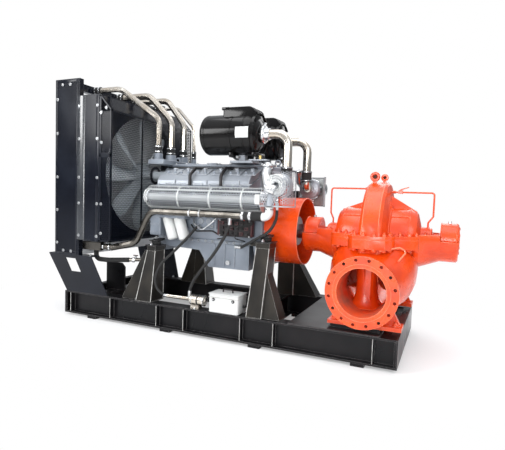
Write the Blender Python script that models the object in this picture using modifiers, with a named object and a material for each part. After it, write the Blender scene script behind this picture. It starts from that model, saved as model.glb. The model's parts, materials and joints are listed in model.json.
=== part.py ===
"""Skid-mounted diesel pump set: vee engine, radiator and split-case pump on one beam skid.

Plant frame: X runs along the shaft towards the pump's outboard end, Y runs to the back,
Z is up from the floor. X is zero at the pump's flange axis and Y is zero on the shaft.
One empty carries the whole set and moves it so that the part's origin is mid-length.
"""
import math

import bmesh
import bpy
from mathutils import Matrix, Vector

# Clearance between pieces that touch
SEAT_GAP = 0.0003

# Skid
SKID_LEFT = -2.87
SKID_RIGHT = 0.26
SKID_HALF_WIDTH = 0.60
PAD_THICKNESS = 0.025
PAD_LENGTH = 0.10
BEAM_HEIGHT = 0.214
BEAM_WIDTH = 0.12
BEAM_WEB = 0.010
BEAM_FLANGE = 0.014
RIB_THICKNESS = 0.010
WELD_INSET = 0.002
RIB_PLACES = (-2.797, -2.311, -1.791, -1.510, -0.970, -0.682, 0.086)
PAD_PLACES = (-2.535, -1.700, -0.843, -0.019)
CROSS_BEAM_PLACES = (-2.50, -0.945, -0.30)
CROSS_BEAM_WIDTH = 0.10
STAND_PLATE_ENDS = (-2.617, -2.383)
STAND_PLATE_Y = -0.30
STAND_PLATE_TOP = 0.512
DECK_LEFT = -0.56
DECK_RIGHT = 0.13
DECK_THICKNESS = 0.010
BEAM_TOP = PAD_THICKNESS + BEAM_HEIGHT
DECK_TOP = BEAM_TOP + SEAT_GAP + DECK_THICKNESS

# Shaft line
SHAFT_HEIGHT = 0.92
SHAFT_RADIUS = 0.035
SHAFT_CLEARANCE = 0.0008

# Radiator
RADIATOR_LEFT = -2.930
RADIATOR_RIGHT = -2.632
RADIATOR_HALF_WIDTH = 0.67
RADIATOR_BOTTOM = 0.610
RADIATOR_TOP = 2.248
CORE_TOP = 2.091
CHANNEL_WALL = 0.008
CHANNEL_FLANGE = 0.050
TANK_HEIGHT = 0.085
CORE_RECESS = 0.020
HEADER_BOTTOM = 2.136
HEADER_TOP = 2.204
HEADER_DEPTH = 0.060
BRACKET_FOOT_ENDS = (-2.845, -2.343)
BRACKET_HEAD_ENDS = (-3.010, -2.480)
BRACKET_PLATE = 0.010
BRACKET_FLANGE = 0.10
WINDOW_LOW_ENDS = (-2.755, -2.630)
WINDOW_HIGH_ENDS = (-2.804, -2.677)
WINDOW_BOTTOM = 0.445
WINDOW_TOP = 0.575

# Fan, shroud and guard
SHROUD_RIGHT = -2.392
SHROUD_BOTTOM = 0.756
SHEET_WALL = 0.004
FAN_HEIGHT = 1.395
FAN_RADIUS = 0.555
FAN_RING_RADIUS = 0.585
FAN_MIDDLE = -2.445
FAN_CHORD = 0.20
FAN_BLADE_THICKNESS = 0.006
FAN_CAMBER = 0.07
FAN_ROOT_PITCH = math.radians(42)
FAN_TIP_PITCH = math.radians(22)
FAN_BLADES = 8
FAN_HUB_RADIUS = 0.13
FAN_HUB_WIDTH = 0.060
FAN_SHAFT_RADIUS = 0.040
GUARD_RIGHT = -2.257
GUARD_SHOULDER = 1.945
GUARD_HOLE_RADIUS = 0.060

# Pipes from the radiator header: drop Y, pipe radius, header Y and knee X of each
PIPE_ROWS = (
    (-0.314, 0.026, 0.194 - RADIATOR_HALF_WIDTH, -2.32),
    (-0.112, 0.033, -0.150, -2.24),
    (0.113, 0.031, 0.090, -2.19),
    (0.312, 0.018, RADIATOR_HALF_WIDTH - 0.194, -2.32),
)
PIPE_DROP_X = -2.00
PIPE_LOW_KNEE = 1.915
PIPE_BEND = 0.12
LOW_PIPE_Y = -0.55
LOW_PIPE_RADIUS = 0.030
LOW_PIPE_RIGHT = -0.765
LOW_PIPE_END_BEND = 0.045
DRAIN_PIPE_RADIUS = 0.018
DRAIN_PIPE_BEND = 0.045
DRAIN_PIPE_ROUTE = (
    (-2.530, -0.545, 0.700), (-2.530, -0.545, 0.572), (-2.400, -0.520, 0.568),
    (-2.100, -0.330, 0.575), (-1.980, -0.330, 0.575),
)

# Engine
ENGINE_LEFT = -1.930
ENGINE_RIGHT = -0.990
PAN_LEFT = -1.440
PAN_RIGHT = -1.040
PAN_BOTTOM = 0.565
PAN_SHALLOW = 0.730
FITTING_RADIUS = 0.012
OIL_FILTER_PLACES = (-1.775, -1.655)
OIL_FILTER_TILT = math.radians(19)
OIL_FILTER_RADIUS = 0.050
OIL_FILTER_LENGTH = 0.215
PAN_TOP = 0.800
PAN_HALF_WIDTH = 0.30
BLOCK_HALF_WIDTH = 0.34
BANK_HALF_WIDTH = 0.45
HEAD_BOTTOM = 1.180
MANIFOLD_TOP = 1.500
MANIFOLD_BOTTOM = 1.400
MANIFOLD_HALF_WIDTH = 0.190
MANIFOLD_RIGHT = -0.94
COVER_ENDS = (-1.92, -1.00)
COVER_SECTION = (
    (0.215, 1.3846), (0.44, 1.2948), (0.435, 1.335), (0.40, 1.385), (0.28, 1.440), (0.215, 1.445),
)
FLYWHEEL_RIGHT = -0.912
FLYWHEEL_HALF_WIDTH = 0.33
GEAR_COVER_LEFT = -2.010
GEAR_COVER_HALF_FOOT = 0.26
GEAR_COVER_TOP = 1.38
FAN_DRIVE_FOOT_DEPTH = 0.185

# Engine legs: X ends of the column's foot and head, of the gusset's foot and head, and of the mount arm;
# then the gusset's top, the column's top and the engine's half width at the arm
LEG_FORMS = {
    "left_front": ((-2.022, -1.860), (-1.969, -1.883), (-2.199, -2.000), (-2.010, -1.960), (-2.005, -1.935),
                   0.690, 0.695, 0.260),
    "left_rear": ((-2.022, -1.860), (-1.969, -1.883), (-2.199, -2.000), (-2.010, -1.960), (-2.005, -1.935),
                  0.690, 0.695, 0.260),
    "right_front": ((-0.921, -0.791), (-0.888, -0.774), (-0.820, -0.640), (-0.820, -0.790), (-0.980, -0.800),
                    0.620, 0.800, 0.330),
    "right_rear": ((-1.030, -0.860), (-1.010, -0.850), (-0.900, -0.620), (-0.900, -0.830), (-0.980, -0.870),
                   0.620, 0.800, 0.330),
}
LEG_FOOT_DEPTH = (0.590, 0.400)
LEG_HEAD_DEPTH = (0.500, 0.360)
GUSSET_INSET = 0.020
MOUNT_THICKNESS = 0.040
THERMOSTAT_LEFT = -2.07
THERMOSTAT_TOP = 1.590
SHIELD_LEFT = -1.970
SHIELD_RIGHT = -0.852
SHIELD_HEIGHT = 1.185
SHIELD_RADIUS = 0.100

# Turbochargers: heat shield, turbine and compressor on one axis across the engine
TURBO_X = -0.728
TURBO_HEIGHT = 1.306
TURBO_PROFILE = (
    (0.575, 0.070), (0.560, 0.105), (0.480, 0.105), (0.462, 0.060), (0.448, 0.060), (0.430, 0.098),
    (0.385, 0.098), (0.372, 0.048), (0.352, 0.048),
)
WRAP_RIGHT = -0.590
WRAP_OUTER = 0.560
WRAP_INNER = 0.430
WRAP_CORNER = 0.090
WRAP_BOTTOM = TURBO_HEIGHT - 0.169
WRAP_TOP = TURBO_HEIGHT + 0.119
WRAP_SHEET = 0.004
TURBO_INLET_HEIGHT = TURBO_HEIGHT - 0.171
LOW_PIPE_HEIGHT = TURBO_INLET_HEIGHT - 0.080
STUB_RADIUS = 0.045
STUB_Y = 0.50
STUB_HEIGHT = TURBO_HEIGHT - 0.091
EXHAUST_X = -0.845
EXHAUST_Y = 0.40
EXHAUST_TOP = TURBO_HEIGHT + 0.171
EXHAUST_RADIUS = 0.046

# Pump
UPPER_FLANGE_THICKNESS = 0.028
LOWER_FLANGE_THICKNESS = 0.070
CASING_PROFILE = (
    (0.000, 0.445), (0.060, 0.445), (0.082, 0.428), (0.108, 0.250), (0.122, 0.235),
    (0.255, 0.235), (0.310, 0.200), (0.328, 0.130), (0.335, 0.095), (0.398, 0.095),
)
# Sections of the two passages: Y, half width, middle height, half height and squareness
SUCTION_SECTIONS = (
    (-0.650, 0.205, 0.561, 0.205, 2.0), (-0.540, 0.205, 0.561, 0.205, 2.0),
    (-0.420, 0.265, 0.590, 0.235, 2.2), (-0.290, 0.320, 0.640, 0.262, 2.5),
    (-0.120, 0.330, 0.655, 0.255, 2.6), (0.060, 0.325, 0.670, 0.240, 2.5),
    (0.190, 0.270, 0.690, 0.200, 2.3), (0.260, 0.160, 0.720, 0.130, 2.0),
)
DISCHARGE_SECTIONS = (
    (0.000, 0.120, 0.640, 0.250, 2.4), (0.220, 0.130, 0.610, 0.235, 2.3),
    (0.400, 0.170, 0.575, 0.215, 2.1), (0.540, 0.205, 0.561, 0.205, 2.0),
    (0.650, 0.205, 0.561, 0.205, 2.0),
)
NOZZLE_HEIGHT = 0.561
BORE_DEPTHS = {"suction": 0.43, "discharge": 0.40}
PASSAGE_RADIUS = 0.080
PASSAGE_X = 0.135
NOZZLE_FACE = 0.680
NOZZLE_BORE = 0.175
PIPE_FLANGE_RADIUS = 0.260
PIPE_FLANGE_THICKNESS = 0.042
BOLT_CIRCLE_RADIUS = 0.235
BOLT_HOLE_RADIUS = 0.013
BOLT_HOLES = 16
FOOT_HALF_LENGTH = 0.270
FOOT_THICKNESS = 0.028
FOOT_INNER = 0.36
FOOT_OUTER = 0.52
PACKER_THICKNESS = 0.025
LIFTING_EYES = ((-0.035, -0.075, 0.0285, 0.0125), (0.022, 0.075, 0.0215, 0.0100))
EYE_RISE = 0.043
EYE_HEIGHT = SHAFT_HEIGHT + CASING_PROFILE[0][1] + EYE_RISE
BEARING_INNER = 0.480
BEARING_OUTER = 0.612
BEARING_CAP_RADIUS = 0.133
BEARING_BODY_RADIUS = 0.170
ARM_TOP = 0.045
ARM_ROOT = 0.335
ARM_ROOT_RADIUS = 0.225
ARM_WALL = 0.016
ARM_SEAT_DEPTH = 0.035
COUPLING_GUARD_RADIUS = 0.295
COUPLING_GUARD_WALL = 0.006
COUPLING_GUARD_LIP = 0.05
COUPLING_GUARD_LEFT = FLYWHEEL_RIGHT + SEAT_GAP
COUPLING_GUARD_RIGHT = -0.618
COUPLING_RADIUS = 0.130

# Hoses: route of each by hand, from its fitting's mouth to the other one's
HOSE_SPACING = 2.6
HOSES = {
    "hose_heater_feed": (0.013, (
        (-1.112, -0.550, 1.0077), (-1.112, -0.550, 0.982), (-1.140, -0.542, 0.915), (-1.186, -0.532, 0.835),
        (-1.274, -0.530, 0.705), (-1.366, -0.535, 0.590), (-1.448, -0.545, 0.470), (-1.479, -0.550, 0.385),
        (-1.479, -0.550, 0.3503))),
    "hose_heater_return": (0.012, (
        (-1.512, -0.3753, 0.926), (-1.512, -0.402, 0.926), (-1.555, -0.475, 0.840), (-1.662, -0.510, 0.719),
        (-1.778, -0.535, 0.600), (-1.838, -0.550, 0.475), (-1.815, -0.555, 0.370), (-1.742, -0.550, 0.315),
        (-1.7103, -0.550, 0.315))),
    "hose_oil_drain": (0.012, (
        (-0.719, -0.500, 1.1447), (-0.719, -0.500, 1.112), (-0.723, -0.508, 1.034), (-0.775, -0.515, 0.940),
        (-0.882, -0.492, 0.876), (-1.000, -0.425, 0.815), (-1.086, -0.375, 0.775), (-1.115, -0.375, 0.775))),
}

# Air filters
FILTER_OFFSET = 0.28
FILTER_RADIUS = 0.175
FILTER_STAND = 0.070
FILTER_HEIGHT = MANIFOLD_TOP + FILTER_STAND + FILTER_RADIUS
FILTER_LEFT = -1.490
FILTER_RIGHT = -0.950
HOOD_LEFT = -1.290
HOOD_RIGHT = -0.985
HOOD_TOP = FILTER_HEIGHT + 0.225
HOOD_HALF_WIDTH = 0.105

HALF_TURN = math.pi
QUARTER_TURN = math.pi / 2


def clear_scene():
    """Remove every object and give back the two collections of the model."""
    for item in list(bpy.data.objects):
        bpy.data.objects.remove(item, do_unlink=True)
    parts = bpy.data.collections.new("diesel_pump")
    cutters = bpy.data.collections.new("cutters")
    for group in (parts, cutters):
        bpy.context.scene.collection.children.link(group)
    return parts, cutters


PARTS, CUTTERS = clear_scene()
ROW_SHIFT = -(min(BRACKET_HEAD_ENDS[0], SKID_LEFT) + BEARING_OUTER) / 2
ORIGIN = bpy.data.objects.new("set_origin", None)
ORIGIN.location = (ROW_SHIFT, 0, 0)
PARTS.objects.link(ORIGIN)


def finish_material(name, colour, metallic, roughness):
    """One Principled material with a plain colour."""
    material = bpy.data.materials.new(name)
    material.use_nodes = True
    shader = material.node_tree.nodes["Principled BSDF"]
    shader.inputs["Base Color"].default_value = (*colour, 1)
    shader.inputs["Metallic"].default_value = metallic
    shader.inputs["Roughness"].default_value = roughness
    return material


SKID_BLACK = finish_material("skid_black", (0.016, 0.016, 0.019), 0, 0.35)
LEG_GREY = finish_material("leg_grey", (0.045, 0.042, 0.036), 0, 0.45)
RADIATOR_BLACK = finish_material("radiator_black", (0.012, 0.014, 0.020), 0, 0.30)
CORE_GREY = finish_material("core_grey", (0.060, 0.065, 0.070), 0.6, 0.50)
FAN_GREY = finish_material("fan_grey", (0.420, 0.450, 0.470), 0, 0.40)
ENGINE_GREY = finish_material("engine_grey", (0.300, 0.330, 0.390), 0.2, 0.45)
COVER_GREY = finish_material("cover_grey", (0.420, 0.440, 0.460), 0.6, 0.40)
SHIELD_STEEL = finish_material("shield_steel", (0.480, 0.500, 0.520), 0.9, 0.35)
PIPE_STEEL = finish_material("pipe_steel", (0.700, 0.670, 0.620), 1.0, 0.22)
PUMP_RED = finish_material("pump_red", (0.860, 0.105, 0.035), 0, 0.38)
FILTER_BLACK = finish_material("filter_black", (0.010, 0.010, 0.011), 0, 0.18)
WHITE_PAINT = finish_material("white_paint", (0.820, 0.830, 0.820), 0, 0.35)
RUBBER_BLACK = finish_material("rubber_black", (0.014, 0.014, 0.015), 0, 0.60)
SHAFT_STEEL = finish_material("shaft_steel", (0.300, 0.300, 0.310), 1.0, 0.30)


def place(mesh, name, material, location=(0, 0, 0), rotation=(0, 0, 0), cutter=False):
    """Put a mesh in the set as a part, or as a cutter that the build leaves out."""
    item = bpy.data.objects.new(name, mesh)
    item.location = location
    item.rotation_euler = rotation
    item.parent = ORIGIN
    if material is not None:
        mesh.materials.append(material)
    if cutter:
        item.hide_render = True
        item.display_type = "WIRE"
        CUTTERS.objects.link(item)
    else:
        PARTS.objects.link(item)
    return item


def from_bmesh(shape, name, smooth=False):
    """Write a bmesh into a new mesh."""
    mesh = bpy.data.meshes.new(name)
    shape.to_mesh(mesh)
    shape.free()
    if smooth:
        mesh.shade_smooth()
        mesh.set_sharp_from_angle(angle=math.radians(35))
    return mesh


def box(name, low, high, material=None, cutter=False, bevel=0.0):
    """Box between two corners, with an optional chamfer on every edge."""
    size = [high[i] - low[i] for i in range(3)]
    middle = [(high[i] + low[i]) / 2 for i in range(3)]
    shape = bmesh.new()
    bmesh.ops.create_cube(shape, size=1)
    bmesh.ops.scale(shape, vec=size, verts=shape.verts)
    item = place(from_bmesh(shape, name), name, material, middle, cutter=cutter)
    if bevel:
        soften(item, bevel)
    return item


def tapered_box(name, base, top, low, high, material=None, cutter=False):
    """Box whose top rectangle is another than its base; each is (x0, x1, y0, y1)."""
    shape = bmesh.new()
    bmesh.ops.create_cube(shape, size=2)
    for vertex in shape.verts:
        x0, x1, y0, y1 = top if vertex.co.z > 0 else base
        vertex.co.x = x1 if vertex.co.x > 0 else x0
        vertex.co.y = y1 if vertex.co.y > 0 else y0
        vertex.co.z = high if vertex.co.z > 0 else low
    return place(from_bmesh(shape, name), name, material, cutter=cutter)


def cylinder(name, radius, length, middle, axis, material=None, cutter=False, segments=24, end_radius=None):
    """Cylinder or cone along one axis; the end radius is at the axis's positive end."""
    shape = bmesh.new()
    far = radius if end_radius is None else end_radius
    bmesh.ops.create_cone(
        shape, cap_ends=True, segments=segments, radius1=radius, radius2=far, depth=length
    )
    mesh = from_bmesh(shape, name, smooth=True)
    return place(mesh, name, material, middle, turn_to(axis), cutter)


def turn_to(axis):
    """Rotation that carries local Z to the named axis."""
    return {"X": (0, QUARTER_TURN, 0), "Y": (-QUARTER_TURN, 0, 0), "Z": (0, 0, 0)}[axis]


def turned(name, profile, middle, axis, material=None, cutter=False, segments=32, closed=False):
    """Turned shape from (radius, height) points that run down its outer side."""
    shape = bmesh.new()
    points = [shape.verts.new((radius, 0, height)) for radius, height in profile]
    for first, second in zip(points, points[1:]):
        shape.edges.new((first, second))
    if closed:
        shape.edges.new((points[-1], points[0]))
    item = place(from_bmesh(shape, name), name, material, middle, turn_to(axis), cutter)
    screw = item.modifiers.new("turn", "SCREW")
    screw.steps = segments
    screw.render_steps = segments
    screw.use_merge_vertices = True
    screw.merge_threshold = 0.00001
    screw.use_smooth_shade = True
    return item


def prism(name, outline, low, high, plane, material=None, cutter=False):
    """Flat outline given thickness; plane XZ runs along Y, YZ along X and XY along Z."""
    curve = bpy.data.curves.new(name, "CURVE")
    curve.dimensions = "2D"
    curve.fill_mode = "BOTH"
    curve.resolution_u = 1
    curve.render_resolution_u = 1
    curve.extrude = (high - low) / 2
    spline = curve.splines.new("POLY")
    spline.points.add(len(outline) - 1)
    for point, (first, second) in zip(spline.points, outline):
        point.co = (first, second, 0, 1)
    spline.use_cyclic_u = True
    middle = (high + low) / 2
    rotation, location = {
        "XY": ((0, 0, 0), (0, 0, middle)),
        "XZ": ((QUARTER_TURN, 0, 0), (0, middle, 0)),
        "YZ": ((QUARTER_TURN, 0, QUARTER_TURN), (middle, 0, 0)),
    }[plane]
    return curve_to_mesh(curve, name, material, location, rotation, cutter, smooth=False)


def curve_to_mesh(curve, name, material, location, rotation, cutter, smooth=True):
    """Turn a curve into one closed mesh object at the same place."""
    holder = bpy.data.objects.new(name + "_curve", curve)
    PARTS.objects.link(holder)
    graph = bpy.context.evaluated_depsgraph_get()
    mesh = bpy.data.meshes.new_from_object(holder.evaluated_get(graph))
    shape = bmesh.new()
    shape.from_mesh(mesh)
    bmesh.ops.remove_doubles(shape, verts=shape.verts, dist=0.00001)
    if not smooth:
        bmesh.ops.dissolve_limit(shape, angle_limit=math.radians(1), verts=shape.verts, edges=shape.edges)
    bmesh.ops.recalc_face_normals(shape, faces=shape.faces)
    shape.to_mesh(mesh)
    shape.free()
    mesh.name = name
    if smooth:
        mesh.shade_smooth()
        mesh.set_sharp_from_angle(angle=math.radians(40))
    bpy.data.objects.remove(holder, do_unlink=True)
    bpy.data.curves.remove(curve)
    return place(mesh, name, material, location, rotation, cutter)


def rounded_route(points, bends, steps=4):
    """Route through the points with each inner corner replaced by an arc; one radius, or one a corner."""
    if not isinstance(bends, tuple):
        bends = (bends,) * (len(points) - 2)
    route = [Vector(points[0])]
    for before, corner, after, bend in zip(points, points[1:], points[2:], bends):
        corner = Vector(corner)
        back = (Vector(before) - corner).normalized()
        ahead = (Vector(after) - corner).normalized()
        half = back.angle(ahead) / 2
        setback = bend / math.tan(half)
        centre = corner + (back + ahead).normalized() * (bend / math.sin(half))
        start = corner + back * setback - centre
        swing = HALF_TURN - 2 * half
        axle = start.cross(corner + ahead * setback - centre).normalized()
        for step in range(steps + 1):
            route.append(centre + Matrix.Rotation(swing * step / steps, 3, axle) @ start)
    route.append(Vector(points[-1]))
    return route


def smooth_route(points, spacing, steps=12):
    """Points about one spacing apart on a smooth curve between the route's straight first and last stubs."""
    knots = [Vector(point) for point in points]
    fine = []
    for first, second, third, fourth in zip(knots, knots[1:], knots[2:], knots[3:]):
        for step in range(steps):
            t = step / steps
            slope = third - first
            bow = 2 * first - 5 * second + 4 * third - fourth
            twist = 3 * second - first - 3 * third + fourth
            fine.append(0.5 * (2 * second + slope * t + bow * t ** 2 + twist * t ** 3))
    fine.append(knots[-2])
    reach = [0.0]
    for first, second in zip(fine, fine[1:]):
        reach.append(reach[-1] + (second - first).length)
    count = max(2, round(reach[-1] / spacing))
    route = [knots[0]]
    index = 0
    for number in range(count):
        goal = reach[-1] * number / count
        while reach[index + 1] < goal:
            index += 1
        share = (goal - reach[index]) / (reach[index + 1] - reach[index])
        route.append(fine[index].lerp(fine[index + 1], share))
    return route + knots[-2:]


def tube(name, route, radius, material=None, cutter=False, sides=2):
    """Round bar along a route."""
    curve = bpy.data.curves.new(name, "CURVE")
    curve.dimensions = "3D"
    curve.resolution_u = 1
    curve.render_resolution_u = 1
    curve.bevel_depth = radius
    curve.bevel_resolution = sides
    curve.use_fill_caps = True
    spline = curve.splines.new("POLY")
    spline.points.add(len(route) - 1)
    for point, place_on_route in zip(spline.points, route):
        point.co = (*place_on_route, 1)
    return curve_to_mesh(curve, name, material, (0, 0, 0), (0, 0, 0), cutter)


def ring(name, major, minor, middle, axis, material=None, cutter=False):
    """Torus around one axis."""
    profile = [
        (major + minor * math.cos(-HALF_TURN * 2 * step / 6), minor * math.sin(-HALF_TURN * 2 * step / 6))
        for step in range(6)
    ]
    return turned(name, profile, middle, axis, material, cutter, segments=14, closed=True)


def soften(item, width, segments=1):
    """Chamfer or round the edges of a piece."""
    bevel = item.modifiers.new("soften", "BEVEL")
    bevel.width = width
    bevel.segments = segments
    bevel.limit_method = "ANGLE"
    bevel.angle_limit = math.radians(40)


def join(target, *others):
    """Fuse pieces into the target with exact unions."""
    for other in others:
        union = target.modifiers.new("join", "BOOLEAN")
        union.operation = "UNION"
        union.object = other
    return target


def cut(target, *others):
    """Take cutters out of the target."""
    for other in others:
        difference = target.modifiers.new("cut", "BOOLEAN")
        difference.operation = "DIFFERENCE"
        difference.object = other
    return target


def mirrored_outline(outline, sign):
    """Outline with its first coordinate on the chosen side, kept counter-clockwise."""
    points = [(sign * first, second) for first, second in outline]
    return points if sign > 0 else points[::-1]


def beam(name, middle, width, ends, along):
    """Rolled beam: two flanges joined by a web, laid along X or Y at the skid's height."""
    def piece(suffix, half, low, high, cutter):
        across = (middle - half, middle + half)
        (x0, x1), (y0, y1) = (ends, across) if along == "X" else (across, ends)
        return box(name + suffix, (x0, y0, low), (x1, y1, high), SKID_BLACK, cutter=cutter)

    low, high = PAD_THICKNESS, BEAM_TOP
    bottom = piece("", width / 2, low, low + BEAM_FLANGE, False)
    top = piece("_top_flange", width / 2, high - BEAM_FLANGE, high, True)
    web = piece("_web", BEAM_WEB / 2, low + BEAM_FLANGE / 2, high - BEAM_FLANGE / 2, True)
    return join(bottom, web, top)


def skid_rail(name, side):
    """Long rail with its stiffener ribs and the pads that it stands on."""
    middle = side * (SKID_HALF_WIDTH - BEAM_WIDTH / 2)
    left = SKID_LEFT + BEAM_WEB + SEAT_GAP
    right = SKID_RIGHT - BEAM_WEB - SEAT_GAP
    rail = beam(name, middle, BEAM_WIDTH, (left, right), "X")
    outer = side * (SKID_HALF_WIDTH - WELD_INSET)
    web_face = side * (SKID_HALF_WIDTH - BEAM_WIDTH / 2)
    for number, place_x in enumerate(RIB_PLACES):
        half = RIB_THICKNESS / 2
        low = (place_x - half, min(outer, web_face), PAD_THICKNESS + BEAM_FLANGE / 2)
        high = (place_x + half, max(outer, web_face), BEAM_TOP - BEAM_FLANGE / 2)
        rib = box(f"{name}_rib_{number}", low, high, cutter=True)
        join(rail, rib)
    inner = side * (SKID_HALF_WIDTH - BEAM_WIDTH + WELD_INSET)
    for number, place_x in enumerate(PAD_PLACES):
        half = PAD_LENGTH / 2
        low = (place_x - half, min(outer, inner), 0)
        high = (place_x + half, max(outer, inner), PAD_THICKNESS + BEAM_FLANGE / 2)
        pad = box(f"{name}_pad_{number}", low, high, cutter=True)
        join(rail, pad)
    return rail


def end_beam(name, face, inward):
    """Channel that closes one end of the skid; its web covers the rail ends."""
    plate = box(name, (min(face, face + inward * BEAM_WEB), -SKID_HALF_WIDTH, PAD_THICKNESS),
                (max(face, face + inward * BEAM_WEB), SKID_HALF_WIDTH, BEAM_TOP), SKID_BLACK)
    inner = SKID_HALF_WIDTH - BEAM_WIDTH - SEAT_GAP
    near = face + inward * BEAM_WEB / 2
    far = face + inward * BEAM_WIDTH / 2
    for number, low in enumerate((PAD_THICKNESS + WELD_INSET, BEAM_TOP - BEAM_FLANGE)):
        high = low + BEAM_FLANGE - WELD_INSET
        flange = box(f"{name}_flange_{number}", (min(near, far), -inner, low), (max(near, far), inner, high),
                     cutter=True)
        join(plate, flange)
    return plate


def cross_beams():
    """Beams between the two rails; the first carries an upright plate under the radiator."""
    inner = SKID_HALF_WIDTH - BEAM_WIDTH - SEAT_GAP
    for number, place_x in enumerate(CROSS_BEAM_PLACES, start=1):
        crossing = beam(f"cross_beam_{number}", place_x, CROSS_BEAM_WIDTH, (-inner, inner), "Y")
        if number == 1:
            join(crossing, stand_plate())


def stand_plate():
    """Upright plate on the first cross beam, with one corner cut off."""
    left, right = STAND_PLATE_ENDS
    top = STAND_PLATE_TOP
    corner = BEAM_WIDTH / 3
    outline = [(left, BEAM_TOP - WELD_INSET), (right, BEAM_TOP - WELD_INSET), (right, top - corner),
               (right - corner, top), (left, top)]
    half = BRACKET_PLATE / 2
    return prism("stand_plate", outline, STAND_PLATE_Y - half, STAND_PLATE_Y + half, "XZ", cutter=True)


def skid():
    """The whole base frame."""
    skid_rail("skid_rail_front", -1)
    skid_rail("skid_rail_rear", 1)
    end_beam("skid_end_beam_left", SKID_LEFT, 1)
    end_beam("skid_end_beam_right", SKID_RIGHT, -1)
    cross_beams()
    deck = box("pump_deck_plate", (DECK_LEFT, -SKID_HALF_WIDTH, BEAM_TOP + SEAT_GAP),
               (DECK_RIGHT, SKID_HALF_WIDTH, DECK_TOP), SKID_BLACK)
    for name, side in (("front", -1), ("rear", 1)):
        near, far = sorted((side * (FOOT_INNER + 0.01), side * (FOOT_OUTER - 0.01)))
        packer = box(f"pump_packer_{name}", (-0.25, near, DECK_TOP - DECK_THICKNESS / 2),
                     (0.12, far, DECK_TOP + PACKER_THICKNESS), cutter=True)
        join(deck, packer)


def radiator_bracket(name, side):
    """Leaning plate with a window and a top flange that the radiator stands on."""
    foot = sorted((side * SKID_HALF_WIDTH, side * (SKID_HALF_WIDTH - BRACKET_PLATE)))
    head = sorted((side * RADIATOR_HALF_WIDTH, side * (RADIATOR_HALF_WIDTH - BRACKET_PLATE)))
    high = RADIATOR_BOTTOM - SEAT_GAP
    plate = tapered_box(name, (*BRACKET_FOOT_ENDS, *foot), (*BRACKET_HEAD_ENDS, *head), BEAM_TOP + SEAT_GAP,
                        high - WELD_INSET, RADIATOR_BLACK)
    outer = RADIATOR_HALF_WIDTH - WELD_INSET
    near, far = sorted((side * outer, side * (outer - BRACKET_FLANGE)))
    left, right = BRACKET_HEAD_ENDS
    flange = box(f"{name}_flange", (left + WELD_INSET, near, high - BRACKET_PLATE),
                 (right - WELD_INSET, far, high), cutter=True)
    near, far = sorted((side * (SKID_HALF_WIDTH - BRACKET_FLANGE),
                        side * (RADIATOR_HALF_WIDTH + BRACKET_FLANGE)))
    window = tapered_box(f"{name}_window", (*WINDOW_LOW_ENDS, near, far), (*WINDOW_HIGH_ENDS, near, far),
                         WINDOW_BOTTOM, WINDOW_TOP, cutter=True)
    return cut(join(plate, flange), window)


def side_channel(name, side):
    """Folded channel at one side of the radiator core."""
    outer = RADIATOR_HALF_WIDTH
    web = outer - CHANNEL_WALL
    lip = outer - CHANNEL_FLANGE
    left, right = RADIATOR_LEFT, RADIATOR_RIGHT
    points = [(left, outer), (left, lip), (left + CHANNEL_WALL, lip), (left + CHANNEL_WALL, web),
              (right - CHANNEL_WALL, web), (right - CHANNEL_WALL, lip), (right, lip), (right, outer)]
    outline = [(first, side * second) for first, second in points]
    return prism(name, outline, RADIATOR_BOTTOM, RADIATOR_TOP, "XY", RADIATOR_BLACK)


def radiator():
    """Core, tanks, side channels, header and the brackets below them."""
    for name, side in (("front", -1), ("rear", 1)):
        radiator_bracket(f"radiator_bracket_{name}", side)
        side_channel(f"radiator_channel_{name}", side)
    left = RADIATOR_LEFT + CHANNEL_WALL + SEAT_GAP
    right = RADIATOR_RIGHT - CHANNEL_WALL - SEAT_GAP
    half = RADIATOR_HALF_WIDTH - CHANNEL_WALL - SEAT_GAP
    core = box("radiator_core", (left, -half, RADIATOR_BOTTOM), (right, half, CORE_TOP), CORE_GREY)
    recess = box("core_recess", (left - 0.1, -half + 0.03, RADIATOR_BOTTOM + TANK_HEIGHT),
                 (left + CORE_RECESS, half - 0.03, CORE_TOP - TANK_HEIGHT), cutter=True)
    cut(core, recess)
    span = RADIATOR_HALF_WIDTH - CHANNEL_FLANGE - SEAT_GAP
    box("radiator_header", (RADIATOR_RIGHT - HEADER_DEPTH, -span, HEADER_BOTTOM),
        (RADIATOR_RIGHT, span, HEADER_TOP), RADIATOR_BLACK)


def fan_shroud():
    """Open box in front of the core with a round hole for the fan."""
    left = RADIATOR_RIGHT + SEAT_GAP
    half = RADIATOR_HALF_WIDTH
    shroud = box("fan_shroud", (left, -half, SHROUD_BOTTOM), (SHROUD_RIGHT, half, CORE_TOP), RADIATOR_BLACK)
    inside = box("fan_shroud_inside", (left - 0.1, -half + SHEET_WALL, SHROUD_BOTTOM + SHEET_WALL),
                 (SHROUD_RIGHT - SHEET_WALL, half - SHEET_WALL, CORE_TOP - SHEET_WALL), cutter=True)
    hole = cylinder("fan_shroud_hole", FAN_RING_RADIUS, 0.1, (SHROUD_RIGHT, 0, FAN_HEIGHT), "X", cutter=True,
                    segments=48)
    return cut(shroud, inside, hole)


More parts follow.
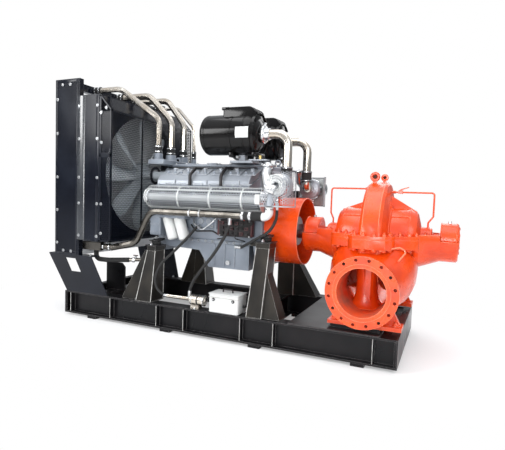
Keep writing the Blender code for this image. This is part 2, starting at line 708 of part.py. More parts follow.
def fan_guard():
    """Sheet cover over the fan, with a sloping top and a hole for the fan shaft."""
    left = SHROUD_RIGHT + SEAT_GAP
    half = RADIATOR_HALF_WIDTH
    wall = SHEET_WALL
    outer = [(left, SHROUD_BOTTOM), (GUARD_RIGHT, SHROUD_BOTTOM), (GUARD_RIGHT, GUARD_SHOULDER),
             (left, CORE_TOP)]
    inner = [(left - 0.1, SHROUD_BOTTOM + wall), (GUARD_RIGHT - wall, SHROUD_BOTTOM + wall),
             (GUARD_RIGHT - wall, GUARD_SHOULDER - wall), (left, CORE_TOP - wall * 2),
             (left - 0.1, CORE_TOP - wall * 2)]
    guard = prism("fan_guard", outer, -half, half, "XZ", RADIATOR_BLACK)
    inside = prism("fan_guard_inside", inner, -half + wall, half - wall, "XZ", cutter=True)
    hole = cylinder("fan_guard_hole", GUARD_HOLE_RADIUS, 0.1, (GUARD_RIGHT, 0, FAN_HEIGHT), "X", cutter=True,
                    segments=20)
    return cut(guard, inside, hole)


def fan():
    """Axial fan: hub, shaft and pitched blades, turning about its own axis."""
    hub = cylinder("fan", FAN_HUB_RADIUS, FAN_HUB_WIDTH, (FAN_MIDDLE, 0, FAN_HEIGHT), "X", FAN_GREY)
    reach = GEAR_COVER_LEFT - 0.09 - SEAT_GAP - FAN_MIDDLE
    shaft = cylinder("fan_shaft", FAN_SHAFT_RADIUS, reach, (FAN_MIDDLE + reach / 2, 0, FAN_HEIGHT), "X",
                     cutter=True, segments=16)
    join(hub, shaft)
    for number in range(FAN_BLADES):
        blade = fan_blade(f"fan_blade_{number}", number * 2 * HALF_TURN / FAN_BLADES)
        join(hub, blade)
    return hub


def fan_blade(name, angle):
    """Cambered paddle from inside the hub to a rounded tip, with less pitch towards the tip."""
    root = FAN_HUB_RADIUS * 0.8
    shape = bmesh.new()
    rings = []
    for share in (0, 0.35, 0.70, 0.88, 0.97, 1.0):
        tip_round = math.sqrt(max(0.0, 1 - ((share - 0.70) / 0.33) ** 2)) if share > 0.70 else 1.0
        chord = FAN_CHORD * (0.60 + 0.40 * share) * tip_round
        pitch = FAN_ROOT_PITCH + (FAN_TIP_PITCH - FAN_ROOT_PITCH) * share
        section = []
        for face, steps in ((1, (-1, -0.5, 0, 0.5, 1)), (-1, (1, 0.5, 0, -0.5, -1))):
            for step in steps:
                rise = FAN_CAMBER * chord * (1 - step * step) + face * FAN_BLADE_THICKNESS / 2
                across = step * chord / 2
                section.append(shape.verts.new((
                    rise * math.cos(pitch) - across * math.sin(pitch),
                    rise * math.sin(pitch) + across * math.cos(pitch),
                    root + (FAN_RADIUS - root) * share)))
        rings.append(section)
    for first, second in zip(rings, rings[1:]):
        for index in range(len(first)):
            following = (index + 1) % len(first)
            shape.faces.new((first[index], first[following], second[following], second[index]))
    shape.faces.new(rings[0])
    shape.faces.new(rings[-1])
    bmesh.ops.recalc_face_normals(shape, faces=shape.faces)
    bmesh.ops.rotate(shape, matrix=Matrix.Rotation(angle, 3, "X"), verts=shape.verts)
    return place(from_bmesh(shape, name, smooth=True), name, None, (FAN_MIDDLE, 0, FAN_HEIGHT), cutter=True)


def engine_legs():
    """Four welded legs between the rails and the engine: column, gusset and mount arm."""
    low = BEAM_TOP + SEAT_GAP
    for end, (foot, head, gusset_foot, gusset_head, arm, gusset_top, high, reach) in LEG_FORMS.items():
        side = -1 if end.endswith("front") else 1
        node = f"engine_leg_{end}"
        foot_y = sorted(side * depth for depth in LEG_FOOT_DEPTH)
        head_y = sorted(side * depth for depth in LEG_HEAD_DEPTH)
        leg = tapered_box(node, (*foot, *foot_y), (*head, *head_y), low, high, LEG_GREY)
        inset = GUSSET_INSET
        share = (gusset_top - low) / (high - low)
        middle_y = [a + (b - a) * share for a, b in zip(foot_y, head_y)]
        gusset = tapered_box(f"{node}_gusset", (*gusset_foot, foot_y[0] + inset, foot_y[1] - inset),
                             (*gusset_head, middle_y[0] + inset, middle_y[1] - inset), low + WELD_INSET,
                             gusset_top, cutter=True)
        cap = box(f"{node}_cap", (head[0] - 0.003, head_y[0] - 0.003, high - 0.004),
                  (head[1] + 0.003, head_y[1] + 0.003, high + MOUNT_THICKNESS), cutter=True)
        near, far = sorted((side * LEG_HEAD_DEPTH[1] * 1.15, side * (reach + SEAT_GAP)))
        mount = box(f"{node}_mount", (arm[0], near, high), (arm[1], far, high + MOUNT_THICKNESS - WELD_INSET),
                    cutter=True)
        join(leg, gusset, cap, mount)


def engine_block():
    """Crankcase, oil pan, gear cover and flywheel housing."""
    half = BLOCK_HALF_WIDTH
    outer = BANK_HALF_WIDTH
    valley = MANIFOLD_BOTTOM - SEAT_GAP
    flank = [(PAN_HALF_WIDTH, PAN_TOP + SEAT_GAP), (half, 0.90), (half, 1.05), (outer, HEAD_BOTTOM),
             (outer, 1.290), (0.21, 1.386), (0.20, valley)]
    outline = flank + [(-first, second) for first, second in flank[::-1]]
    block = prism("crankcase", outline, ENGINE_LEFT, ENGINE_RIGHT, "YZ", ENGINE_GREY)
    outlet_x, outlet_y, outlet_z = HOSES["hose_heater_return"][1][0]
    route = [(outlet_x, -half + 0.01, outlet_z), (outlet_x, outlet_y + SEAT_GAP, outlet_z)]
    nipple = tube("heater_return_nipple", route, FITTING_RADIUS, cutter=True)
    join(block, nipple)
    pan = [(ENGINE_LEFT, PAN_TOP), (ENGINE_LEFT, PAN_SHALLOW), (PAN_LEFT - 0.10, PAN_SHALLOW - 0.02),
           (PAN_LEFT, PAN_BOTTOM), (PAN_RIGHT, PAN_BOTTOM), (PAN_RIGHT, PAN_TOP)]
    sump = prism("oil_pan", pan, -PAN_HALF_WIDTH, PAN_HALF_WIDTH, "XZ", ENGINE_GREY)
    elbow_x, elbow_y, elbow_z = HOSES["hose_oil_drain"][1][-1]
    stem_x = elbow_x - FITTING_RADIUS
    route = [(stem_x, -PAN_HALF_WIDTH + 0.01, elbow_z), (stem_x, elbow_y - 0.013, elbow_z)]
    elbow = tube("oil_drain_elbow", route, FITTING_RADIUS, cutter=True)
    route = [(elbow_x - 0.020, elbow_y, elbow_z), (elbow_x - SEAT_GAP, elbow_y, elbow_z)]
    mouth = tube("oil_drain_mouth", route, FITTING_RADIUS * 0.95, cutter=True)
    join(sump, elbow, mouth)
    gear_cover()
    wide = FLYWHEEL_HALF_WIDTH
    housing = [(-0.25, 0.60), (0.25, 0.60), (wide, 0.76), (wide, 1.08), (0.20, 1.25), (-0.20, 1.25),
               (-wide, 1.08), (-wide, 0.76)]
    prism("flywheel_housing", housing, ENGINE_RIGHT + SEAT_GAP, FLYWHEEL_RIGHT, "YZ", ENGINE_GREY)


def gear_cover():
    """Cover at the engine's free end, with the fan drive and a side pump."""
    foot = GEAR_COVER_HALF_FOOT
    top = GEAR_COVER_TOP
    cover = [(-foot, 0.68), (foot, 0.68), (foot, 0.77), (0.33, 0.90), (0.33, top - 0.18), (0.20, top),
             (-0.20, top), (-0.33, top - 0.18), (-0.33, 0.90), (-foot, 0.77)]
    gears = prism("gear_cover", cover, GEAR_COVER_LEFT, ENGINE_LEFT - SEAT_GAP, "YZ", ENGINE_GREY)
    drive = cylinder("fan_drive", 0.080, 0.12, (GEAR_COVER_LEFT - 0.03, 0, FAN_HEIGHT), "X", cutter=True)
    foot_bottom = min(top - FAN_DRIVE_FOOT_DEPTH, FAN_HEIGHT - 0.20)
    foot = box("fan_drive_foot", (GEAR_COVER_LEFT - 0.05, -0.10, foot_bottom),
               (GEAR_COVER_LEFT + 0.01, 0.10, FAN_HEIGHT), cutter=True)
    side_pump = box("side_pump", (-2.005, -0.43, 0.83), (-1.885, -BLOCK_HALF_WIDTH - SEAT_GAP * 2, 1.03),
                    cutter=True, bevel=0.01)
    neck = box("side_pump_neck", (-1.995, -0.36, 0.91), (ENGINE_LEFT - 0.01, -0.30, 1.02), cutter=True)
    join(gears, drive, foot, side_pump, neck)


def cylinder_banks():
    """Valve covers, intake manifold with its coolant bar and the perforated exhaust shields."""
    outer = BANK_HALF_WIDTH
    for name, side in (("front", -1), ("rear", 1)):
        prism(f"valve_cover_{name}", mirrored_outline(COVER_SECTION, side), *COVER_ENDS, "YZ", COVER_GREY)
        turns = [math.radians(angle) for angle in range(-90, 91, 15)]
        arc = [(outer + SEAT_GAP + SHIELD_RADIUS * math.cos(turn),
                SHIELD_HEIGHT + SHIELD_RADIUS * math.sin(turn)) for turn in turns]
        prism(f"exhaust_shield_{name}", mirrored_outline(arc, side), SHIELD_LEFT, SHIELD_RIGHT, "YZ",
              SHIELD_STEEL)
    manifold = box("intake_manifold", (ENGINE_LEFT, -MANIFOLD_HALF_WIDTH, MANIFOLD_BOTTOM),
                   (MANIFOLD_RIGHT, MANIFOLD_HALF_WIDTH, MANIFOLD_TOP), ENGINE_GREY, bevel=0.012)
    coolant_bar(manifold)


def coolant_bar(manifold):
    """Coolant manifold across the engine's free end, with a neck for each pipe."""
    bar = box("coolant_bar", (THERMOSTAT_LEFT, -0.38, MANIFOLD_TOP - 0.012),
              (ENGINE_LEFT + 0.03, 0.38, MANIFOLD_TOP + 0.03), cutter=True)
    join(manifold, bar)
    for number, (place_y, radius, _, _) in enumerate(PIPE_ROWS, start=1):
        middle_height = (THERMOSTAT_TOP + MANIFOLD_TOP) / 2
        neck = cylinder(f"thermostat_neck_{number}", radius * 1.5, THERMOSTAT_TOP - MANIFOLD_TOP,
                        (PIPE_DROP_X, place_y, middle_height), "Z", cutter=True, segments=12)
        join(manifold, neck)


def coolant_pipes():
    """Four pipes from the radiator header to the engine and one low pipe beside it."""
    start = RADIATOR_RIGHT + SEAT_GAP
    height = (HEADER_TOP + HEADER_BOTTOM) / 2
    for number, (drop_y, radius, start_y, knee_x) in enumerate(PIPE_ROWS, start=1):
        points = [(start, start_y, height), (knee_x, start_y, height),
                  (PIPE_DROP_X, drop_y, PIPE_LOW_KNEE),
                  (PIPE_DROP_X, drop_y, THERMOSTAT_TOP + SEAT_GAP)]
        tube(f"coolant_pipe_{number}", rounded_route(points, PIPE_BEND), radius, PIPE_STEEL)
    low_start = RADIATOR_RIGHT + 0.21
    points = [(low_start, -0.58, 0.702), (-2.30, -0.58, 0.702), (-2.06, LOW_PIPE_Y, 0.760),
              (-1.91, LOW_PIPE_Y, LOW_PIPE_HEIGHT), (LOW_PIPE_RIGHT, LOW_PIPE_Y, LOW_PIPE_HEIGHT),
              (LOW_PIPE_RIGHT, LOW_PIPE_Y, TURBO_INLET_HEIGHT - SEAT_GAP)]
    bends = (PIPE_BEND, PIPE_BEND, PIPE_BEND, LOW_PIPE_END_BEND)
    low_pipe = tube("lower_coolant_pipe", rounded_route(points, bends), LOW_PIPE_RADIUS, PIPE_STEEL)
    feed_x, feed_y, feed_z = HOSES["hose_heater_feed"][1][0]
    nipple = tube("heater_feed_nipple", [(feed_x, feed_y, LOW_PIPE_HEIGHT), (feed_x, feed_y, feed_z + SEAT_GAP)],
                  FITTING_RADIUS, cutter=True)
    outlet = box("coolant_outlet", (RADIATOR_RIGHT + SEAT_GAP, -0.62, 0.665), (low_start + 0.01, -0.54, 0.740),
                 cutter=True)
    drain = tube("coolant_drain", rounded_route(DRAIN_PIPE_ROUTE, DRAIN_PIPE_BEND), DRAIN_PIPE_RADIUS,
                 cutter=True)
    join(low_pipe, outlet, nipple, drain)


def turbochargers():
    """Turbocharger at the pump end of each bank, in a rounded heat shield, with its exhaust elbow."""
    for name, side in (("front", -1), ("rear", 1)):
        profile = [(0, TURBO_PROFILE[0][0])] + [(radius, out) for out, radius in TURBO_PROFILE]
        profile.append((0, TURBO_PROFILE[-1][0]))
        node = f"turbocharger_{name}"
        body = turned(node, profile, (TURBO_X, 0, TURBO_HEIGHT), "Y", SHIELD_STEEL, segments=20)
        if side < 0:
            body.rotation_euler = (QUARTER_TURN, 0, 0)
        wrap = prism(f"{node}_wrap", mirrored_pairs(wrap_outline(), side), WRAP_BOTTOM, WRAP_TOP, "XY",
                     cutter=True)
        stub_start = SHIELD_RIGHT + SEAT_GAP
        stub = cylinder(f"{node}_stub", STUB_RADIUS, TURBO_X - stub_start,
                        ((TURBO_X + stub_start) / 2, side * STUB_Y, STUB_HEIGHT), "X", cutter=True, segments=16)
        inlet_y = side * -LOW_PIPE_Y
        route = [(LOW_PIPE_RIGHT, inlet_y, TURBO_INLET_HEIGHT), (LOW_PIPE_RIGHT, inlet_y, TURBO_HEIGHT - 0.06)]
        inlet = tube(f"{node}_inlet", route, LOW_PIPE_RADIUS + 0.002, cutter=True)
        route = [(EXHAUST_X, side * EXHAUST_Y, EXHAUST_TOP), (EXHAUST_X, side * EXHAUST_Y, TURBO_HEIGHT + 0.079),
                 (TURBO_X - 0.01, side * 0.53, TURBO_HEIGHT)]
        outlet = tube(f"exhaust_outlet_{name}", rounded_route(route, 0.07), EXHAUST_RADIUS, cutter=True)
        flange = cylinder(f"exhaust_flange_{name}", EXHAUST_RADIUS * 1.5, 0.012,
                          (EXHAUST_X, side * EXHAUST_Y, EXHAUST_TOP - 0.008), "Z", cutter=True, segments=20)
        join(body, wrap, stub, inlet, outlet, flange)
        if side < 0:
            drain_x, drain_y, drain_z = HOSES["hose_oil_drain"][1][0]
            route = [(drain_x, drain_y, drain_z + SEAT_GAP), (drain_x, drain_y, TURBO_HEIGHT - 0.07)]
            drain = tube("turbo_drain", route, FITTING_RADIUS, cutter=True)
            join(body, drain)


def wrap_outline():
    """Plan of the rear turbocharger's heat shield: a sheet along the bank that turns inward at its end."""
    left = SHIELD_RIGHT + SEAT_GAP
    corner_x, corner_y = WRAP_RIGHT - WRAP_CORNER, WRAP_OUTER - WRAP_CORNER
    turns = [math.radians(angle) for angle in range(0, 91, 18)]
    outer, inner = [
        [(corner_x + reach * math.cos(turn), corner_y + reach * math.sin(turn)) for turn in turns]
        for reach in (WRAP_CORNER, WRAP_CORNER - WRAP_SHEET)
    ]
    return ([(WRAP_RIGHT, WRAP_INNER)] + outer + [(left, WRAP_OUTER), (left, WRAP_OUTER - WRAP_SHEET)]
            + inner[::-1] + [(WRAP_RIGHT - WRAP_SHEET, WRAP_INNER)])


def mirrored_pairs(outline, side):
    """Plan outline on the chosen side of the shaft, kept counter-clockwise."""
    points = [(first, side * second) for first, second in outline]
    return points if side > 0 else points[::-1]


def air_filters():
    """Two round filters on a shared bracket, with inlet hoods and pipes down to the turbochargers."""
    for name, side in (("front", -1), ("rear", 1)):
        length = FILTER_RIGHT - FILTER_LEFT
        profile = [(0, length / 2), (0.12, length / 2), (FILTER_RADIUS, length / 2 - 0.05),
                   (FILTER_RADIUS, -length / 2 + 0.035), (FILTER_RADIUS - 0.03, -length / 2), (0, -length / 2)]
        middle = ((FILTER_LEFT + FILTER_RIGHT) / 2, side * FILTER_OFFSET, FILTER_HEIGHT)
        can = turned(f"air_filter_{name}", profile, middle, "X", FILTER_BLACK, segments=36)
        join(can, filter_hood(name, side * FILTER_OFFSET))
        inlet_y = side * TURBO_PROFILE[-1][0] - side * SEAT_GAP
        points = [(FILTER_RIGHT + SEAT_GAP, side * FILTER_OFFSET, FILTER_HEIGHT),
                  (TURBO_X, side * FILTER_OFFSET, FILTER_HEIGHT),
                  (TURBO_X, side * FILTER_OFFSET, TURBO_HEIGHT),
                  (TURBO_X, inlet_y, TURBO_HEIGHT)]
        tube(f"intake_pipe_{name}", rounded_route(points, (0.10, 0.06), 6), 0.040, PIPE_STEEL, sides=4)
    top = FILTER_HEIGHT - FILTER_RADIUS - SEAT_GAP
    low = MANIFOLD_TOP + SEAT_GAP
    bracket = box("filter_bracket", (-1.24, -0.33, low), (-1.02, 0.33, low + 0.02), COVER_GREY)
    for name, side in (("front", -1), ("rear", 1)):
        near, far = sorted((side * (FILTER_OFFSET - 0.03), side * (FILTER_OFFSET + 0.03)))
        post = box(f"filter_post_{name}", (-1.165, near, low + 0.01), (-1.105, far, top), cutter=True)
        join(bracket, post)


def filter_hood(name, middle_y):
    """Inlet hood on a filter: upright at the left and rounded down at the right."""
    bend = 0.07
    turns = [math.radians(angle) for angle in range(90, -1, -15)]
    middle_x, middle_z = HOOD_RIGHT - bend, HOOD_TOP - bend
    corner = [(middle_x + bend * math.cos(turn), middle_z + bend * math.sin(turn)) for turn in turns]
    outline = [(HOOD_LEFT, FILTER_HEIGHT), (HOOD_RIGHT, FILTER_HEIGHT)] + corner[::-1] + [
        (HOOD_LEFT + 0.015, HOOD_TOP), (HOOD_LEFT, HOOD_TOP - 0.015)]
    hood = prism(f"air_filter_hood_{name}", outline, middle_y - HOOD_HALF_WIDTH, middle_y + HOOD_HALF_WIDTH,
                 "XZ", cutter=True)
    soften(hood, 0.012)
    return hood


def oil_filters():
    """Two spin-on filters that hang at a slant from one head on the front of the crankcase."""
    head = box("oil_filters", (-1.87, -0.47, 0.995), (-1.60, -BLOCK_HALF_WIDTH - SEAT_GAP, 1.035),
               WHITE_PAINT)
    for number, middle_x in enumerate(OIL_FILTER_PLACES, start=1):
        item = cylinder(f"oil_filter_{number}", OIL_FILTER_RADIUS, OIL_FILTER_LENGTH, (middle_x, -0.42, 0.905),
                        "Z", cutter=True, segments=20)
        item.rotation_euler = (0, -OIL_FILTER_TILT, 0)
        join(head, item)


def control_box():
    """Dark controller case on the front of the crankcase."""
    box("engine_controller", (-1.28, -0.42, 0.865), (-0.985, -BLOCK_HALF_WIDTH - SEAT_GAP, 1.01), SKID_BLACK,
        bevel=0.006)


def skid_items():
    """White box and coolant heater that stand on the front rail."""
    low = BEAM_TOP + SEAT_GAP
    box("battery_box", (-1.26, -SKID_HALF_WIDTH, low), (-0.99, -0.43, low + 0.16), WHITE_PAINT, bevel=0.008)
    heater = tube("coolant_heater", [(-1.71, -0.55, 0.315), (-1.32, -0.55, 0.315)], 0.018, PIPE_STEEL)
    body = cylinder("coolant_heater_body", 0.045, 0.13, (-1.390, -0.55, 0.315), "X", cutter=True, segments=16)
    foot = box("coolant_heater_foot", (-1.45, -0.58, low), (-1.37, -0.52, 0.30), cutter=True)
    feed_x, feed_y, feed_z = HOSES["hose_heater_feed"][1][-1]
    nipple = tube("heater_nipple", [(feed_x, feed_y, 0.31), (feed_x, feed_y, feed_z - SEAT_GAP)],
                  FITTING_RADIUS, cutter=True)
    join(heater, body, foot, nipple)


def hoses():
    """Rubber hoses, each from one fitting's mouth to another's."""
    for name, (radius, points) in HOSES.items():
        tube(name, smooth_route(points, HOSE_SPACING * 2 * radius), radius, RUBBER_BLACK)


def casing_turned(name, material):
    """Both suction domes and the volute band as one body turned about the shaft."""
    right = list(CASING_PROFILE)
    left = [(-across, radius) for across, radius in right[:0:-1]]
    full = left + right
    profile = [(0, full[-1][0])] + [(radius, across) for across, radius in full[::-1]] + [(0, full[0][0])]
    return turned(name, profile, (0, 0, SHAFT_HEIGHT), "X", material, segments=36)


def split_flange_outline():
    """Outline of the bolted split flange seen from above."""
    shoulder = ARM_ROOT - 0.001
    quarter = [(0.400, 0.0), (0.400, 0.135), (0.345, 0.165), (shoulder, 0.190), (shoulder, 0.265),
               (0.300, 0.300), (0.175, 0.330), (0.160, 0.430), (0.120, 0.470), (0.0, 0.480)]
    right_back = quarter[:-1]
    left_back = [(-x, y) for x, y in quarter[::-1]][:-1]
    left_front = [(-x, -y) for x, y in quarter[1:-1]]
    right_front = [(x, -y) for x, y in quarter[::-1]][:-1]
    return right_back + [(0.0, 0.480)] + left_back[1:] + [(-0.400, 0.0)] + left_front + right_front


def superellipse(half_width, half_height, power, count=28):
    """Points of a rounded rectangle or ellipse around the origin."""
    points = []
    for step in range(count):
        angle = 2 * HALF_TURN * step / count
        cosine, sine = math.cos(angle), math.sin(angle)
        points.append((math.copysign(abs(cosine) ** (2 / power), cosine) * half_width,
                       math.copysign(abs(sine) ** (2 / power), sine) * half_height))
    return points


def loft_along_y(name, sections, cutter=True):
    """Loft between upright sections; each is (y, half width, middle height, half height, power)."""
    shape = bmesh.new()
    rings = []
    for place_y, half_width, height, half_height, power in sections:
        points = superellipse(half_width, half_height, power)
        rings.append([shape.verts.new((x, place_y, height + z)) for x, z in points])
    for first, second in zip(rings, rings[1:]):
        for index in range(len(first)):
            following = (index + 1) % len(first)
            shape.faces.new((first[index], first[following], second[following], second[index]))
    shape.faces.new(rings[0])
    shape.faces.new(rings[-1])
    bmesh.ops.recalc_face_normals(shape, faces=shape.faces)
    return place(from_bmesh(shape, name, smooth=True), name, None, cutter=cutter)


def pipe_flange(name, side):
    """Round pipe flange at one nozzle face."""
    middle_y = side * (NOZZLE_FACE - PIPE_FLANGE_THICKNESS / 2)
    return cylinder(name, PIPE_FLANGE_RADIUS, PIPE_FLANGE_THICKNESS, (0, middle_y, NOZZLE_HEIGHT), "Y",
                    cutter=True, segments=40)


def bolt_holes(target, side):
    """Holes of one pipe flange, straddling its upright centre line."""
    end = "front" if side < 0 else "rear"
    for number in range(BOLT_HOLES):
        angle = 2 * HALF_TURN * (number + 0.5) / BOLT_HOLES
        middle = (BOLT_CIRCLE_RADIUS * math.cos(angle), side * (NOZZLE_FACE - PIPE_FLANGE_THICKNESS / 2),
                  NOZZLE_HEIGHT + BOLT_CIRCLE_RADIUS * math.sin(angle))
        hole = cylinder(f"bolt_hole_{end}_{number}", BOLT_HOLE_RADIUS, PIPE_FLANGE_THICKNESS * 1.2, middle,
                        "Y", cutter=True, segments=8)
        cut(target, hole)


def pump_lower_casing():
    """Lower half: suction and discharge passages, volute, split flange, pipe flanges and feet."""
    casing = casing_turned("pump_lower_casing", PUMP_RED)
    chest = loft_along_y("suction_chest", SUCTION_SECTIONS)
    outlet = loft_along_y("discharge_neck", DISCHARGE_SECTIONS)
    flange = prism("lower_split_flange", split_flange_outline(), SHAFT_HEIGHT - LOWER_FLANGE_THICKNESS,
                   SHAFT_HEIGHT, "XY", cutter=True)
    join(casing, chest, outlet, flange, pipe_flange("suction_flange", -1), pipe_flange("discharge_flange", 1))
    for name, side in (("inboard", -1), ("outboard", 1)):
        seat = cylinder(f"{name}_arm_seat", ARM_ROOT_RADIUS, ARM_SEAT_DEPTH,
                        (side * (ARM_ROOT - ARM_SEAT_DEPTH / 2), 0, SHAFT_HEIGHT), "X", cutter=True, segments=32)
        join(casing, seat)
    for name, side in (("front", -1), ("rear", 1)):
        near, far = sorted((side * FOOT_INNER, side * FOOT_OUTER))
        low = DECK_TOP + PACKER_THICKNESS + SEAT_GAP
        foot = box(f"foot_plate_{name}", (-FOOT_HALF_LENGTH, near, low),
                   (FOOT_HALF_LENGTH, far, low + FOOT_THICKNESS), cutter=True)
        half = FOOT_HALF_LENGTH - WELD_INSET
        middle = side * (FOOT_INNER + FOOT_OUTER) / 2
        outline = [(-half, low + 0.01), (half, low + 0.01), (0.17, 0.47), (-0.17, 0.47)]
        web = prism(f"foot_web_{name}", outline, middle - 0.015, middle + 0.015, "XZ", cutter=True)
        join(casing, foot, web)
    above = box("above_split", (-1, -1, SHAFT_HEIGHT - SEAT_GAP / 2), (1, 1, SHAFT_HEIGHT + 1), cutter=True)
    cut(casing, above)
    for name, side in (("suction", -1), ("discharge", 1)):
        bore = nozzle_bore(name, side)
        if side < 0:
            keep_suction_walls(bore)
            for number, passage_x in enumerate((-PASSAGE_X, PASSAGE_X), start=1):
                passage = cylinder(f"suction_passage_{number}", PASSAGE_RADIUS, 0.26, (passage_x, -0.18, 0.60),
                                   "Y", cutter=True, segments=20)
                cut(casing, passage)
        cut(casing, bore)
        bolt_holes(casing, side)
    cut(casing, shaft_bore("lower_shaft_bore"))
    return casing


def nozzle_bore(name, side):
    """Cutter for the round passage behind one pipe flange."""
    depth = BORE_DEPTHS[name]
    middle_y = side * (NOZZLE_FACE + 0.01 - depth / 2)
    return cylinder(f"{name}_bore", NOZZLE_BORE, depth, (0, middle_y, NOZZLE_HEIGHT), "Y", cutter=True,
                    segments=32)


def keep_suction_walls(bore):
    """Leave the volute's wall and the upright divider standing at the end of the suction bore."""
    band = cylinder("volute_wall", 0.40, 0.16, (0, 0, SHAFT_HEIGHT), "X", cutter=True, segments=32)
    divider = box("suction_divider", (-0.040, -0.40, 0.30), (0.040, -0.10, 0.80), cutter=True, bevel=0.02)
    cut(bore, band, divider)


def shaft_bore(name):
    """Cutter for the running clearance around the shaft."""
    return cylinder(name, SHAFT_RADIUS + SHAFT_CLEARANCE, 2.0, (0, 0, SHAFT_HEIGHT), "X", cutter=True)


def pump_upper_casing():
    """Upper half: volute band, domes, split flange, ribs and two lifting eyes."""
    casing = casing_turned("pump_upper_casing", PUMP_RED)
    flange = prism("upper_split_flange", split_flange_outline(), SHAFT_HEIGHT,
                   SHAFT_HEIGHT + UPPER_FLANGE_THICKNESS, "XY", cutter=True)
    join(casing, flange)
    half = RIB_THICKNESS / 2 + 0.006
    for number, (side, height) in enumerate(((-1, 1.225), (1, 1.272)), start=1):
        outline = mirrored_outline([(0.07, 1.00), (0.30, 1.00), (0.30, 1.135), (0.07, height)], side)
        rib = prism(f"dome_rib_{number}", outline, -half, half, "XZ", cutter=True)
        join(casing, rib)
    for number, (place_x, place_y, major, minor) in enumerate(LIFTING_EYES, start=1):
        stem = box(f"eye_stem_{number}", (place_x - major * 0.6, place_y - minor * 0.8, 1.30),
                   (place_x + major * 0.6, place_y + minor * 0.8, EYE_HEIGHT - major), cutter=True)
        eye = ring(f"eye_ring_{number}", major, minor, (place_x, place_y, EYE_HEIGHT), "Y", cutter=True)
        join(casing, stem, eye)
    below = box("below_split", (-1, -1, SHAFT_HEIGHT - 1), (1, 1, SHAFT_HEIGHT + SEAT_GAP / 2), cutter=True)
    cut(casing, below, shaft_bore("upper_shaft_bore"))
    return casing


def bearing(name, side):
    """Bearing on an open trough arm, with a separate upper cap."""
    root = ARM_ROOT + SEAT_GAP
    inner, outer = BEARING_INNER, BEARING_OUTER
    profile = [(0, outer), (BEARING_BODY_RADIUS - 0.012, outer), (BEARING_BODY_RADIUS, outer - 0.012),
               (BEARING_BODY_RADIUS, inner), (ARM_ROOT_RADIUS, root), (ARM_ROOT_RADIUS - ARM_WALL, root),
               (BEARING_BODY_RADIUS - ARM_WALL, inner - 0.012), (0, inner - 0.012)]
    turned_name = f"bearing_bracket_{name}"
    bracket = turned(turned_name, profile, (0, 0, SHAFT_HEIGHT), "X", PUMP_RED, segments=32)
    above = box(f"{turned_name}_above", (root - 0.1, -0.4, SHAFT_HEIGHT + ARM_TOP),
                (outer + 0.1, 0.4, SHAFT_HEIGHT + 0.4), cutter=True)
    split = box(f"{turned_name}_split", (inner - SEAT_GAP, -0.4, SHAFT_HEIGHT - SEAT_GAP / 2),
                (outer + 0.1, 0.4, SHAFT_HEIGHT + 0.3), cutter=True)
    cap_profile = [(0, outer), (BEARING_CAP_RADIUS - 0.01, outer), (BEARING_CAP_RADIUS, outer - 0.01),
                   (BEARING_CAP_RADIUS, inner), (0, inner)]
    cap = turned(f"bearing_cap_{name}", cap_profile, (0, 0, SHAFT_HEIGHT), "X", PUMP_RED, segments=32)
    below = box(f"bearing_cap_{name}_below", (root - 0.1, -0.4, SHAFT_HEIGHT - 0.4),
                (outer + 0.1, 0.4, SHAFT_HEIGHT + SEAT_GAP / 2), cutter=True)
    length = 0.9 if side < 0 else (BEARING_OUTER - 0.02) * 2
    bore = cylinder(f"bearing_bore_{name}", SHAFT_RADIUS + SHAFT_CLEARANCE, length, (0, 0, SHAFT_HEIGHT), "X",
                    cutter=True)
    if side < 0:
        bore.location.x = BEARING_OUTER
        for item in (bracket, above, split, cap, below, bore):
            turn_about_z(item)
    cut(bracket, above, split, bore)
    cut(cap, below, bore)


def turn_about_z(item):
    """Turn a piece half round the upright axis of the pump."""
    half_turn = Matrix.Rotation(HALF_TURN, 4, "Z")
    local = Matrix.Translation(item.location) @ item.rotation_euler.to_matrix().to_4x4()
    turned_matrix = half_turn @ local
    item.location = turned_matrix.to_translation()
    item.rotation_euler = turned_matrix.to_euler()


def pump_rotor():
    """Shaft through both bearings, and the coupling inside the guard."""
    face = COUPLING_GUARD_LEFT + 0.065
    left, right = face + 0.040, BEARING_OUTER - 0.03
    cylinder("pump_shaft", SHAFT_RADIUS, right - left, ((right + left) / 2, 0, SHAFT_HEIGHT), "X", SHAFT_STEEL)
    bore = SHAFT_RADIUS + 0.0005
    hub_right = -BEARING_OUTER - 0.02
    hub_left = hub_right - 0.06
    profile = [(bore, hub_right), (COUPLING_RADIUS / 2, hub_right), (COUPLING_RADIUS / 2, hub_left),
               (COUPLING_RADIUS, hub_left), (COUPLING_RADIUS, face), (bore, face)]
    turned("coupling", profile, (0, 0, SHAFT_HEIGHT), "X", SHAFT_STEEL, segments=24, closed=True)


def coupling_guard():
    """Open drum around the coupling, bolted to the flywheel housing."""
    outer = COUPLING_GUARD_RADIUS
    wall = COUPLING_GUARD_WALL
    lip = outer - COUPLING_GUARD_LIP
    left, right = COUPLING_GUARD_LEFT, COUPLING_GUARD_RIGHT
    profile = [(outer, right), (outer, left), (lip, left), (lip, left + wall), (outer - wall, left + wall),
               (outer - wall, right)]
    turned("coupling_guard", profile, (0, 0, SHAFT_HEIGHT), "X", PUMP_RED, segments=48, closed=True)


def volute_flank(radius):
    """X of the casing's outer face at one radius of the volute's flank."""
    for (x0, r0), (x1, r1) in zip(CASING_PROFILE, CASING_PROFILE[1:]):
        if r1 <= radius < r0:
            return x0 + (x1 - x0) * (radius - r0) / (r1 - r0)
    return CASING_PROFILE[-1][0]


